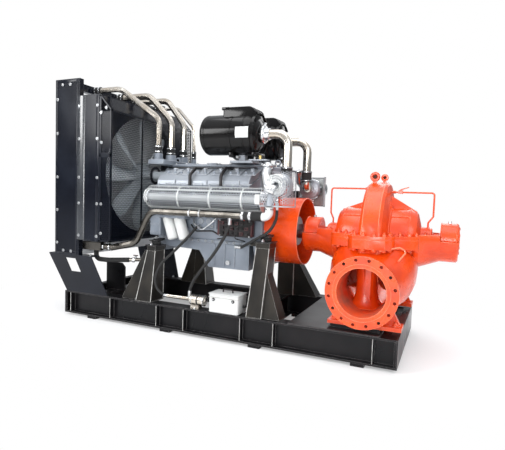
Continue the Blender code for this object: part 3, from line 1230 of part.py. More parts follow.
def seal_pipes():
    """Thin pipes that carry water from the volute to the two shaft seals; a valve stands in the right one."""
    gland = CASING_PROFILE[-1][0] - 0.014
    radius = 0.007
    for name, side, height in (("left", -1, 1.311), ("right", 1, 1.288)):
        start_x = side * (volute_flank(height - SHAFT_HEIGHT - radius) + SEAT_GAP * 2)
        reach = side * (0.407 if side < 0 else 0.42)
        points = [(start_x, 0, height), (reach, 0, height), (reach, 0, 1.10), (side * gland, 0, 1.050),
                  (side * gland, 0, SHAFT_HEIGHT + CASING_PROFILE[-1][1] + SEAT_GAP)]
        pipe = tube(f"seal_pipe_{name}", rounded_route(points, 0.02, 3), radius, SHAFT_STEEL)
        nut = cylinder(f"seal_nut_{name}", radius * 1.9, 0.022, (start_x + side * 0.020, 0, height), "X",
                       cutter=True, segments=6)
        join(pipe, nut)
        if side > 0:
            valve = box("seal_valve", (0.145, -0.013, height - 0.013), (0.180, 0.013, height + 0.017),
                        cutter=True)
            lever = tube("seal_valve_lever", [(0.150, 0, height + 0.012), (0.165, 0, height + 0.022),
                                              (0.225, 0, height + 0.042)], 0.0045, cutter=True)
            join(pipe, valve, lever)


def build():
    """Make every sub-part of the set."""
    skid()
    radiator()
    fan_shroud()
    fan_guard()
    fan()
    engine_legs()
    engine_block()
    cylinder_banks()
    coolant_pipes()
    turbochargers()
    air_filters()
    oil_filters()
    control_box()
    skid_items()
    hoses()
    pump_lower_casing()
    pump_upper_casing()
    bearing("outboard", 1)
    bearing("inboard", -1)
    pump_rotor()
    coupling_guard()
    seal_pipes()


build()
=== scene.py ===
"""Looks of the skid-mounted diesel pump set, built around its packed construction frame.

Plant coordinates: X is zero at the pump's flange axis and grows towards the outboard bearing,
Y is zero on the shaft and grows to the back, Z is up from the floor. All lengths are in metres.
"""
import json
import logging
import math
from dataclasses import dataclass, field
from enum import Enum
from typing import Callable, Iterable, Sequence

import bmesh
import bpy
from mathutils import Matrix, Vector


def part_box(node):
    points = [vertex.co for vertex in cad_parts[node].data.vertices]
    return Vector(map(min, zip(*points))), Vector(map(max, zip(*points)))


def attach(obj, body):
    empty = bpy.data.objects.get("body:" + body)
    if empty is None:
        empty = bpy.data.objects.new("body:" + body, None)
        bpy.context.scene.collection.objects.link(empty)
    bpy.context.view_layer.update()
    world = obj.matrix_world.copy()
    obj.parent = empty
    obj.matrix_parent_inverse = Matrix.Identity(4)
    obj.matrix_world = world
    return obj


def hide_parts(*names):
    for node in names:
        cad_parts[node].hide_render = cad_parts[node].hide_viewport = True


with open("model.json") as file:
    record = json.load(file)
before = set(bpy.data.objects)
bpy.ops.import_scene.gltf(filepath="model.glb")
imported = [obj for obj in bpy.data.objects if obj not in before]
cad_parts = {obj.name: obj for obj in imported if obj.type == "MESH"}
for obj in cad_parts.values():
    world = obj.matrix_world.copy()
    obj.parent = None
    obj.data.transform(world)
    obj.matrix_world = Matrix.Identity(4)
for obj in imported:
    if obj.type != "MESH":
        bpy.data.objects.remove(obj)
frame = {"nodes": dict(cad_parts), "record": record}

LOG = logging.getLogger("pump_set")
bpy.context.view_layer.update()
CASING_LOW, CASING_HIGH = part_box("pump_lower_casing")
PUMP_X = (CASING_LOW[0] + CASING_HIGH[0]) / 2
TO_ROW = Matrix.Translation((PUMP_X, 0, 0))
SHAFT_HEIGHT = 0.92
FULL_TURN = 2 * math.pi
QUARTER_TURN = math.pi / 2
SIDES = (("front", -1), ("rear", 1))
BOTH = (-1, 1)
COAT_ROUGHNESS = 0.12
BEVEL_SAMPLES = 3
MERGE_DISTANCE = 1e-6
MIX_FACTOR, MIX_FIRST, MIX_SECOND, MIX_RESULT = 0, 6, 7, 2
Colour = tuple[float, float, float]
Point = Sequence[float]


def plant(x: float, y: float, z: float) -> Vector:
    """Point of the row frame from plant coordinates."""
    return Vector((PUMP_X + x, y, z))


def turns(count: int) -> list[float]:
    """Angles of a full turn in equal steps, without the last one."""
    return [FULL_TURN * step / count for step in range(count)]


def add_node(tree: bpy.types.NodeTree, kind: str, inputs: dict[str | int, object] | None = None,
             **settings: object) -> bpy.types.Node:
    """New node with its settings and inputs.

    Args:
        tree: the tree that it joins.
        kind: the node's type.
        inputs: values of its inputs, or sockets that are linked to them.
        settings: properties of the node.

    Returns:
        The node.
    """
    node = tree.nodes.new(kind)
    for name, value in settings.items():
        setattr(node, name, value)
    for key, value in (inputs or {}).items():
        if isinstance(value, bpy.types.NodeSocket):
            tree.links.new(value, node.inputs[key])
        else:
            node.inputs[key].default_value = value
    return node


class Body(Enum):
    """Rigid body that a piece moves with."""

    FRAME = "frame"
    FAN = "fan_rotor"
    PUMP = "pump_rotor"


@dataclass(frozen=True)
class Finish:
    """How one kind of surface looks.

    Args:
        name: material name.
        colour: main colour.
        shade: tone that the colour drifts to in blotches.
        metallic: 0 for paint and rubber, 1 for bare metal.
        rough: lowest and highest roughness.
        grain: strength of the fine surface bump.
        grain_size: size of that bump in metres.
        drift_size: size of the colour blotches in metres.
        wear_and_sheen: colour along outer edges, or None; rubbed paint on most finishes, a lighter red of
            painted highlight on the red pump paint.
        edge: radius that edges are rounded to in the shading, in metres.
        coat: strength of the clear gloss layer.
        shine: strength of its mirror-like reflection, 0.5 for the usual paint.
    """

    name: str
    colour: Colour
    shade: Colour
    metallic: float = 0.0
    rough: tuple[float, float] = (0.32, 0.45)
    grain: float = 0.15
    grain_size: float = 0.006
    drift_size: float = 0.30
    wear_and_sheen: Colour | None = None
    edge: float = 0.003
    coat: float = 0.0
    shine: float = 0.5

    def material(self) -> bpy.types.Material:
        """Procedural material of this finish, made once and shared.

        Returns:
            The material.
        """
        known = bpy.data.materials.get(self.name)
        if known is not None:
            return known
        made = bpy.data.materials.new(self.name)
        made.use_nodes = True
        tree = made.node_tree
        shader = tree.nodes["Principled BSDF"]
        shader.inputs["Metallic"].default_value = self.metallic
        shader.inputs["Coat Weight"].default_value = self.coat
        shader.inputs["Coat Roughness"].default_value = COAT_ROUGHNESS
        shader.inputs["Specular IOR Level"].default_value = self.shine
        self.link_surface(tree, shader)
        return made

    def link_surface(self, tree: bpy.types.NodeTree, shader: bpy.types.Node) -> None:
        """Colour drift, roughness, bump, rounded edges and edge colour of the finish: rubbed paint on most
        finishes, painted highlight on the red pump paint.

        Args:
            tree: the material's node tree.
            shader: its Principled node.
        """
        place = add_node(tree, "ShaderNodeTexCoord").outputs["Object"]
        drift = self.noise(tree, place, self.drift_size, 5)
        fine = self.noise(tree, place, self.grain_size, 3)
        tone = self.spread(tree, drift, 0.40, 0.68, 0.0, 1.0)
        colour = self.blend(tree, tone, self.colour, self.shade)
        rough = self.spread(tree, drift, 0.3, 0.7, *self.rough)
        tree.links.new(rough, shader.inputs["Roughness"])
        if self.wear_and_sheen is not None:
            colour = self.edges_rubbed_and_sheened(tree, colour, fine)
        tree.links.new(colour, shader.inputs["Base Color"])
        bevel = add_node(tree, "ShaderNodeBevel", {"Radius": self.edge}, samples=BEVEL_SAMPLES)
        bump = add_node(tree, "ShaderNodeBump", {
            "Strength": self.grain, "Distance": self.grain_size / 4, "Height": fine,
            "Normal": bevel.outputs["Normal"]})
        tree.links.new(bump.outputs["Normal"], shader.inputs["Normal"])

    def noise(self, tree: bpy.types.NodeTree, vector: bpy.types.NodeSocket, size: float,
              detail: int) -> bpy.types.NodeSocket:
        """Noise of one feature size.

        Args:
            tree: the material's node tree.
            vector: coordinates that it reads.
            size: feature size in metres.
            detail: number of octaves.

        Returns:
            The noise value.
        """
        values = {"Vector": vector, "Scale": 1 / size, "Detail": detail}
        return add_node(tree, "ShaderNodeTexNoise", values).outputs["Fac"]

    def spread(self, tree: bpy.types.NodeTree, value: bpy.types.NodeSocket, low: float, high: float,
               first: float, last: float) -> bpy.types.NodeSocket:
        """Value mapped from one range to another.

        Args:
            tree: the material's node tree.
            value: the value to map.
            low: start of its range.
            high: end of its range.
            first: result at the start.
            last: result at the end.

        Returns:
            The mapped value.
        """
        values = {"Value": value, "From Min": low, "From Max": high, "To Min": first, "To Max": last}
        return add_node(tree, "ShaderNodeMapRange", values).outputs["Result"]

    def blend(self, tree: bpy.types.NodeTree, factor: bpy.types.NodeSocket,
              first: Colour | bpy.types.NodeSocket, second: Colour) -> bpy.types.NodeSocket:
        """Mix of two colours.

        Args:
            tree: the material's node tree.
            factor: share of the second colour.
            first: the first colour, or a socket that gives it.
            second: the second colour.

        Returns:
            The mixed colour.
        """
        start = first if isinstance(first, bpy.types.NodeSocket) else (*first, 1)
        values = {MIX_FACTOR: factor, MIX_FIRST: start, MIX_SECOND: (*second, 1)}
        return add_node(tree, "ShaderNodeMix", values, data_type="RGBA").outputs[MIX_RESULT]

    def edges_rubbed_and_sheened(self, tree: bpy.types.NodeTree, colour: bpy.types.NodeSocket,
             fine: bpy.types.NodeSocket) -> bpy.types.NodeSocket:
        """Colour with the edge colour along outer edges, broken up by the fine noise: rubbed paint on most
        finishes, painted highlight on the red pump paint.

        Args:
            tree: the material's node tree.
            colour: colour away from the edges.
            fine: noise that breaks the edge line.

        Returns:
            The colour with its edge colour.
        """
        bevel = add_node(tree, "ShaderNodeBevel", {"Radius": self.edge * 2}, samples=BEVEL_SAMPLES)
        place = add_node(tree, "ShaderNodeNewGeometry")
        dot = add_node(tree, "ShaderNodeVectorMath", {
            0: bevel.outputs["Normal"], 1: place.outputs["Normal"]}, operation="DOT_PRODUCT")
        mask = self.spread(tree, dot.outputs["Value"], 0.995, 0.90, 0.0, 1.0)
        patches = self.spread(tree, fine, 0.40, 0.60, 0.2, 1.0)
        broken = add_node(tree, "ShaderNodeMath", {0: mask, 1: patches}, operation="MULTIPLY")
        return self.blend(tree, broken.outputs[0], colour, self.wear_and_sheen)


class Palette:
    """Every finish of the pump set."""

    SKID = Finish("skid_black_paint", (0.005, 0.005, 0.006), (0.011, 0.010, 0.011), rough=(0.24, 0.40),
                  grain=0.10, wear_and_sheen=(0.17, 0.16, 0.16), shine=0.22)
    LEG = Finish("leg_worn_paint", (0.009, 0.008, 0.007), (0.026, 0.021, 0.015), rough=(0.28, 0.46),
                 grain=0.18, wear_and_sheen=(0.42, 0.41, 0.39), edge=0.003, shine=0.30)
    LEG_LINE = Finish("leg_pale_weld", (0.560, 0.560, 0.540), (0.300, 0.290, 0.270), rough=(0.35, 0.55),
                      grain=0.30, drift_size=0.05, edge=0.001)
    RADIATOR = Finish("radiator_black_gloss", (0.003, 0.004, 0.008), (0.006, 0.008, 0.014),
                      rough=(0.15, 0.24), grain=0.04, wear_and_sheen=(0.05, 0.055, 0.07), shine=0.24)
    STRIP = Finish("strip_rolled_gloss", (0.012, 0.015, 0.020), (0.020, 0.024, 0.030), rough=(0.20, 0.30),
                   grain=0.03, coat=0.60, shine=0.90)
    # Alloy grey of the core raised towards white as painted light, so that the core behind the guard reads
    # bright in the shroud's shade.
    CORE_PAINTED_LIGHT = Finish("core_alloy_painted_light", (0.820, 0.840, 0.860), (0.700, 0.720, 0.740), metallic=0.0,
                  rough=(0.40, 0.55))
    FAN = Finish("fan_pale_paint", (0.420, 0.460, 0.490), (0.330, 0.370, 0.400), rough=(0.35, 0.50),
                 grain=0.05)
    ENGINE = Finish("engine_blue_grey_paint", (0.215, 0.245, 0.288), (0.140, 0.160, 0.193),
                    rough=(0.30, 0.48), grain=0.22, grain_size=0.005, wear_and_sheen=(0.45, 0.48, 0.52))
    COVER = Finish("cover_cast_grey", (0.300, 0.325, 0.360), (0.200, 0.218, 0.248), metallic=0.30,
                   rough=(0.32, 0.50), grain=0.35, grain_size=0.004, wear_and_sheen=(0.62, 0.64, 0.66))
    SHIELD = Finish("shield_bright_sheet", (0.330, 0.350, 0.375), (0.260, 0.276, 0.296), metallic=0.20,
                    rough=(0.40, 0.56), grain=0.05, edge=0.001)
    # Flat dark sheet set behind the punched shields as painted shade.
    PAINTED_SHADE_BACKING = Finish("painted_shade_backing", (0.024, 0.025, 0.028), (0.014, 0.015, 0.017), metallic=0.2,
                        rough=(0.50, 0.65), shine=0.30)
    PIPE = Finish("pipe_polished_steel", (0.700, 0.655, 0.585), (0.520, 0.455, 0.375), metallic=1.0,
                  rough=(0.16, 0.28), grain=0.03, drift_size=0.14)
    LOW_PIPE = Finish("low_pipe_dull_steel", (0.120, 0.112, 0.100), (0.060, 0.055, 0.048), metallic=1.0,
                      rough=(0.20, 0.34), grain=0.05, drift_size=0.12)
    PALE_CAST = Finish("pale_cast_housing", (0.560, 0.575, 0.570), (0.440, 0.455, 0.450), metallic=0.2,
                       rough=(0.30, 0.45), grain=0.15, grain_size=0.004)
    ZINC = Finish("zinc_fasteners", (0.620, 0.630, 0.640), (0.430, 0.440, 0.450), metallic=0.9,
                  rough=(0.25, 0.40), grain=0.08, drift_size=0.05)
    BRIGHT = Finish("bright_machined", (0.760, 0.770, 0.780), (0.580, 0.590, 0.600), metallic=1.0,
                    rough=(0.16, 0.30), grain=0.05, drift_size=0.08)
    # The red paint's edge colour is a lighter red: painted highlight along its edges.
    PUMP = Finish("pump_vivid_red", (0.800, 0.070, 0.004), (0.600, 0.040, 0.002), rough=(0.22, 0.38),
                  grain=0.24, grain_size=0.008, drift_size=0.16, coat=0.12, wear_and_sheen=(0.93, 0.24, 0.11))
    # Lighter red for rims, corner lines and a ridge line: painted highlight where edges catch the light.
    PUMP_EDGE_HIGHLIGHT = Finish("pump_painted_edge_highlight", (0.930, 0.240, 0.120), (0.880, 0.120, 0.040), rough=(0.25, 0.40),
                       grain=0.15, drift_size=0.10, coat=0.30)
    # Inside of the bore: the paint's own orange-brown tone, with its orange raised as painted light against
    # the shade deep in the bore.
    PUMP_INSIDE = Finish("pump_inside_primer_and_painted_light", (0.820, 0.110, 0.030), (0.420, 0.150, 0.100),
                         rough=(0.36, 0.56), grain=0.35, grain_size=0.006, drift_size=0.14)
    HOLE_SHADE = Finish("hole_red_shade", (0.260, 0.022, 0.008), (0.150, 0.016, 0.008), rough=(0.50, 0.70),
                        grain=0.20, edge=0.001, shine=0.25)
    EYE_SHADE = Finish("hole_brown_shade", (0.060, 0.022, 0.016), (0.035, 0.014, 0.011), rough=(0.60, 0.80),
                       grain=0.20, edge=0.001, shine=0.20)
    FILTER = Finish("filter_black_gloss", (0.004, 0.004, 0.004), (0.007, 0.006, 0.006), rough=(0.09, 0.16),
                    grain=0.03, edge=0.004, shine=0.24)
    WHITE = Finish("white_enamel", (0.620, 0.630, 0.622), (0.560, 0.568, 0.560), rough=(0.28, 0.40),
                   grain=0.06, wear_and_sheen=(0.55, 0.55, 0.54))
    RUBBER = Finish("rubber_black", (0.010, 0.010, 0.011), (0.018, 0.018, 0.019), rough=(0.34, 0.50),
                    grain=0.12, grain_size=0.003, edge=0.001, shine=0.40)
    SHAFT = Finish("shaft_turned_steel", (0.330, 0.330, 0.340), (0.220, 0.220, 0.230), metallic=1.0,
                   rough=(0.28, 0.42))
    BRASS = Finish("brass_fitting", (0.620, 0.480, 0.200), (0.440, 0.330, 0.130), metallic=1.0,
                   rough=(0.25, 0.4))
    CONTROL = Finish("control_black_case", (0.012, 0.011, 0.012), (0.026, 0.021, 0.022), rough=(0.32, 0.48),
                     shine=0.35)
    PLUG = Finish("plug_dull_red", (0.070, 0.018, 0.020), (0.045, 0.012, 0.014), rough=(0.35, 0.50),
                  edge=0.001)


class Form:
    """Mesh in the making: closed solids added one after another in plant coordinates."""

    def __init__(self, name: str) -> None:
        """Start an empty form.

        Args:
            name: name of the finished piece.
        """
        self.name = name
        self.shape = bmesh.new()
        self.finishes: list[Finish] = []

    def slot_of(self, finish: Finish) -> int:
        """Number of the material slot that holds a finish."""
        if finish not in self.finishes:
            self.finishes.append(finish)
        return self.finishes.index(finish)

    def absorb(self, part: bmesh.types.BMesh, finish: Finish, matrix: Matrix | None = None,
               smooth: bool = True) -> "Form":
        """Take over the faces of a finished solid.

        Args:
            part: the solid; it is freed here.
            finish: what it is dressed in.
            matrix: its place.
            smooth: whether its faces are shaded smooth.

        Returns:
            This form, so that calls can follow one another.
        """
        if matrix is not None:
            bmesh.ops.transform(part, matrix=matrix, verts=part.verts)
        bmesh.ops.recalc_face_normals(part, faces=part.faces)
        slot = self.slot_of(finish)
        for face in part.faces:
            face.material_index = slot
            face.smooth = smooth
        holder = bpy.data.meshes.new("holder")
        part.to_mesh(holder)
        part.free()
        self.shape.from_mesh(holder)
        bpy.data.meshes.remove(holder)
        return self

    def box(self, low: Point, high: Point, finish: Finish, bevel: float = 0.0,
            turn: Matrix | None = None) -> "Form":
        """Add a box with rounded edges.

        Args:
            low: lowest corner.
            high: highest corner.
            finish: what it is dressed in.
            bevel: edge radius.
            turn: rotation about its own middle.

        Returns:
            This form.
        """
        low, high = Vector(low), Vector(high)
        part = bmesh.new()
        bmesh.ops.create_cube(part, size=1)
        bmesh.ops.scale(part, vec=high - low, verts=part.verts)
        if bevel:
            bmesh.ops.bevel(part, geom=part.edges[:], offset=bevel, segments=2, affect="EDGES", profile=0.5)
        matrix = Matrix.Translation((low + high) / 2)
        return self.absorb(part, finish, matrix @ turn if turn else matrix)

    def lathe(self, profile: Sequence[tuple[float, float]], start: Point, along: Point, finish: Finish,
              sides: int = 28) -> "Form":
        """Add a solid turned from (distance along the axis, radius) points.

        Args:
            profile: the outline, from one end of the axis to the other; it may come back inside.
            start: where the axis begins.
            along: direction of the axis.
            finish: what it is dressed in.
            sides: number of facets round.

        Returns:
            This form.
        """
        part = bmesh.new()
        rings = []
        for reach, radius in profile:
            if radius < MERGE_DISTANCE:
                rings.append([part.verts.new((0, 0, reach))])
                continue
            rings.append([part.verts.new((radius * math.cos(a), radius * math.sin(a), reach))
                          for a in turns(sides)])
        for first, second in zip(rings, rings[1:]):
            self.skin(part, first, second)
        if profile[0] == profile[-1]:
            bmesh.ops.remove_doubles(part, verts=part.verts, dist=MERGE_DISTANCE)
        else:
            for ring in (rings[0], rings[-1]):
                if len(ring) > 1:
                    part.faces.new(ring)
        turn = Vector((0, 0, 1)).rotation_difference(Vector(along)).to_matrix().to_4x4()
        return self.absorb(part, finish, Matrix.Translation(Vector(start)) @ turn)

    def sleeve(self, inner: float, outer: float, width: float, start: Point, along: Point, finish: Finish,
               sides: int = 28) -> "Form":
        """Add a ring of rectangular section.

        Args:
            inner: inner radius.
            outer: outer radius.
            width: length along the axis.
            start: middle of its first face.
            along: direction of the axis.
            finish: what it is dressed in.
            sides: number of facets round.

        Returns:
            This form.
        """
        profile = [(0, inner), (0, outer), (width, outer), (width, inner), (0, inner)]
        return self.lathe(profile, start, along, finish, sides)

    def skin(self, part: bmesh.types.BMesh, first: list, second: list) -> None:
        """Faces between two rings of points, either of which may be a single point.

        Args:
            part: the mesh that holds them.
            first: one ring.
            second: the next ring.
        """
        count = max(len(first), len(second))
        for index in range(count):
            after = (index + 1) % count
            corners = [first[index % len(first)], first[after % len(first)],
                       second[after % len(second)], second[index % len(second)]]
            unique = list(dict.fromkeys(corners))
            if len(unique) > 2:
                part.faces.new(unique)

    def rod(self, start: Point, end: Point, radius: float, finish: Finish, sides: int = 16,
            chamfer: float = 0.0, end_radius: float | None = None) -> "Form":
        """Add a round bar or cone between two points.

        Args:
            start: middle of one end.
            end: middle of the other end.
            radius: radius at the start.
            finish: what it is dressed in.
            sides: number of facets round.
            chamfer: width of the chamfer at both ends.
            end_radius: radius at the end, or None for the same.

        Returns:
            This form.
        """
        along = Vector(end) - Vector(start)
        reach = along.length
        far = radius if end_radius is None else end_radius
        profile = [(0.0, radius - chamfer), (chamfer, radius), (reach - chamfer, far), (reach, far - chamfer)]
        return self.lathe(profile if chamfer else [profile[0], profile[-1]], start, along, finish, sides)

    def tube(self, route: Sequence[Point], radius: float, finish: Finish, sides: int = 12) -> "Form":
        """Add a round bar that follows a route.

        Args:
            route: points along its middle line.
            radius: radius of the bar.
            finish: what it is dressed in.
            sides: number of facets round.

        Returns:
            This form.
        """
        points = [Vector(point) for point in route]
        part = bmesh.new()
        rings = []
        heading = (points[1] - points[0]).normalized()
        across = heading.orthogonal().normalized()
        for index, point in enumerate(points):
            before = points[max(index - 1, 0)]
            after = points[min(index + 1, len(points) - 1)]
            tangent = (after - before).normalized()
            across = (across - tangent * across.dot(tangent)).normalized()
            up = tangent.cross(across)
            rings.append([part.verts.new(point + (across * math.cos(a) + up * math.sin(a)) * radius)
                          for a in turns(sides)])
        for first, second in zip(rings, rings[1:]):
            self.skin(part, first, second)
        part.faces.new(rings[0])
        part.faces.new(rings[-1])
        return self.absorb(part, finish)

    def torus(self, middle: Point, along: Point, major: float, minor: float, finish: Finish, sides: int = 24,
              minor_sides: int = 8) -> "Form":
        """Add a round ring.

        Args:
            middle: centre of the ring.
            along: its axis.
            major: radius of the ring's middle line.
            minor: radius of its section.
            finish: what it is dressed in.
            sides: facets round the ring.
            minor_sides: facets round its section.

        Returns:
            This form.
        """
        profile = [(minor * math.sin(a), major + minor * math.cos(a)) for a in turns(minor_sides)]
        return self.lathe(profile + profile[:1], middle, along, finish, sides)

    def prism(self, outline: Sequence[Point], push: Point, finish: Finish, bevel: float = 0.0) -> "Form":
        """Add a flat outline given thickness.

        Args:
            outline: corners of the outline, all in one plane.
            push: vector that the outline is pushed along.
            finish: what it is dressed in.
            bevel: edge radius.

        Returns:
            This form.
        """
        part = bmesh.new()
        face = part.faces.new([part.verts.new(Vector(point)) for point in outline])
        raised = bmesh.ops.extrude_face_region(part, geom=[face])
        moved = [item for item in raised["geom"] if isinstance(item, bmesh.types.BMVert)]
        bmesh.ops.translate(part, vec=Vector(push), verts=moved)
        if bevel:
            bmesh.ops.recalc_face_normals(part, faces=part.faces)
            bmesh.ops.bevel(part, geom=part.edges[:], offset=bevel, segments=2, affect="EDGES", profile=0.5)
        return self.absorb(part, finish)

    def loft(self, sections: Sequence[Sequence[Point]], finish: Finish) -> "Form":
        """Add a solid through rings of points that all have the same count.

        Args:
            sections: the rings, in order.
            finish: what it is dressed in.

        Returns:
            This form.
        """
        part = bmesh.new()
        rings = [[part.verts.new(Vector(point)) for point in section] for section in sections]
        for first, second in zip(rings, rings[1:]):
            self.skin(part, first, second)
        part.faces.new(rings[0])
        part.faces.new(rings[-1])
        return self.absorb(part, finish)

    def done(self, slot: str, body: Body = Body.FRAME, replaces: Sequence[str] = (),
             sharp: float = 35.0) -> bpy.types.Object:
        """Finish the piece and put it on its body.

        Args:
            slot: the record's material slot; not used.
            body: body that it moves with.
            replaces: construction nodes that it stands for.
            sharp: angle in degrees above which an edge stays sharp.

        Returns:
            The piece.
        """
        mesh = bpy.data.meshes.new(self.name)
        self.shape.to_mesh(mesh)
        self.shape.free()
        mesh.transform(TO_ROW)
        for finish in self.finishes:
            mesh.materials.append(finish.material())
        mesh.set_sharp_from_angle(angle=math.radians(sharp))
        return settle(bpy.data.objects.new(self.name, mesh), body, replaces)


def settle(piece: bpy.types.Object, body: Body, replaces: Sequence[str] = ()) -> bpy.types.Object:
    """Put a finished piece in the scene, hang it on its body's empty and hide the construction nodes that it
    stands for.

    Args:
        piece: the piece, with its place in its mesh.
        body: body that it moves with.
        replaces: construction nodes that it stands for.

    Returns:
        The piece.
    """
    if piece.name not in bpy.context.scene.collection.objects:
        bpy.context.scene.collection.objects.link(piece)
    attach(piece, body.value)
    if replaces:
        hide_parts(*replaces)
    LOG.info("%s rides on %s", piece.name, body.value)
    return piece


def rounded(points: Sequence[Point], bend: float, steps: int = 6) -> list[Vector]:
    """Route through points with each corner replaced by an arc.

    Args:
        points: corners of the route.
        bend: radius of the arcs.
        steps: segments in each arc.

    Returns:
        Points of the rounded route.
    """
    route = [Vector(points[0])]
    for before, corner, after in zip(points, points[1:], points[2:]):
        corner = Vector(corner)
        back = (Vector(before) - corner).normalized()
        ahead = (Vector(after) - corner).normalized()
        half = back.angle(ahead) / 2
        centre = corner + (back + ahead).normalized() * (bend / math.sin(half))
        start = corner + back * (bend / math.tan(half)) - centre
        axle = start.cross(corner + ahead * (bend / math.tan(half)) - centre).normalized()
        swing = math.pi - 2 * half
        route += [centre + Matrix.Rotation(swing * step / steps, 3,
                                           axle) @ start for step in range(steps + 1)]
    return route + [Vector(points[-1])]


def smooth_route(points: Sequence[Point], spacing: float, steps: int = 12) -> list[Vector]:
    """Points on a smooth curve between a route's straight first and last stubs, as the construction makes it.

    Args:
        points: points chosen along the route.
        spacing: distance between the points that come out.
        steps: pieces that the curve is measured in between two chosen points.

    Returns:
        Points along the curve, with both ends of the route.
    """
    knots = [Vector(point) for point in points]
    fine = []
    for first, second, third, fourth in zip(knots, knots[1:], knots[2:], knots[3:]):
        slope, bow = third - first, 2 * first - 5 * second + 4 * third - fourth
        twist = 3 * second - first - 3 * third + fourth
        shares = [step / steps for step in range(steps)]
        fine += [0.5 * (2 * second + slope * t + bow * t ** 2 + twist * t ** 3) for t in shares]
    fine.append(knots[-2])
    reach = [0.0]
    for first, second in zip(fine, fine[1:]):
        reach.append(reach[-1] + (second - first).length)
    count = max(2, round(reach[-1] / spacing))
    route, index = [knots[0]], 0
    for number in range(count):
        goal = reach[-1] * number / count
        while reach[index + 1] < goal:
            index += 1
        share = (goal - reach[index]) / (reach[index + 1] - reach[index])
        route.append(fine[index].lerp(fine[index + 1], share))
    return route + knots[-2:]


class GeometryTree:
    """Small helper that builds a Geometry Nodes tree with named inputs."""

    def __init__(self, name: str) -> None:
        """Start a tree with a geometry input and output.

        Args:
            name: name of the tree.
        """
        self.tree = bpy.data.node_groups.new(name, "GeometryNodeTree")
        self.tree.interface.new_socket("Geometry", in_out="INPUT", socket_type="NodeSocketGeometry")
        self.tree.interface.new_socket("Geometry", in_out="OUTPUT", socket_type="NodeSocketGeometry")
        self.inputs = self.tree.nodes.new("NodeGroupInput")
        self.outputs = self.tree.nodes.new("NodeGroupOutput")
        self.identifiers: dict[str, str] = {}

    def option(self, name: str, kind: str = "NodeSocketFloat") -> None:
        """Add a named input of the tree.

        Args:
            name: its name.
            kind: its socket type.
        """
        socket = self.tree.interface.new_socket(name, in_out="INPUT", socket_type=kind)
        self.identifiers[name] = socket.identifier

    def add(self, kind: str, links: dict[str | int, object] | None = None,
            **settings: object) -> bpy.types.Node:
        """Add a node and fill its sockets.

        Args:
            kind: type of the node.
            links: socket name or number to a socket or a plain value.
            settings: properties of the node.

        Returns:
            The node.
        """
        return add_node(self.tree, kind, links, **settings)

    def math(self, operation: str, first: object, second: object = 0.0) -> bpy.types.NodeSocket:
        """Result of one arithmetic step."""
        return self.add("ShaderNodeMath", {0: first, 1: second}, operation=operation).outputs[0]

    def run(self, start: bpy.types.Mesh, values: dict[str, object], name: str) -> bpy.types.Mesh:
        """Evaluate the tree on a mesh.

        Args:
            start: the mesh that goes in.
            values: values of the named inputs.
            name: name of the resulting mesh.

        Returns:
            The plain mesh that comes out.
        """
        holder = bpy.data.objects.new(name + "_holder", start)
        bpy.context.scene.collection.objects.link(holder)
        modifier = holder.modifiers.new("nodes", "NODES")
        modifier.node_group = self.tree
        for label, value in values.items():
            modifier[self.identifiers[label]] = value
        bpy.context.view_layer.update()
        graph = bpy.context.evaluated_depsgraph_get()
        mesh = bpy.data.meshes.new_from_object(holder.evaluated_get(graph))
        holder.modifiers.clear()
        bpy.data.objects.remove(holder, do_unlink=True)
        mesh.name = name
        return mesh


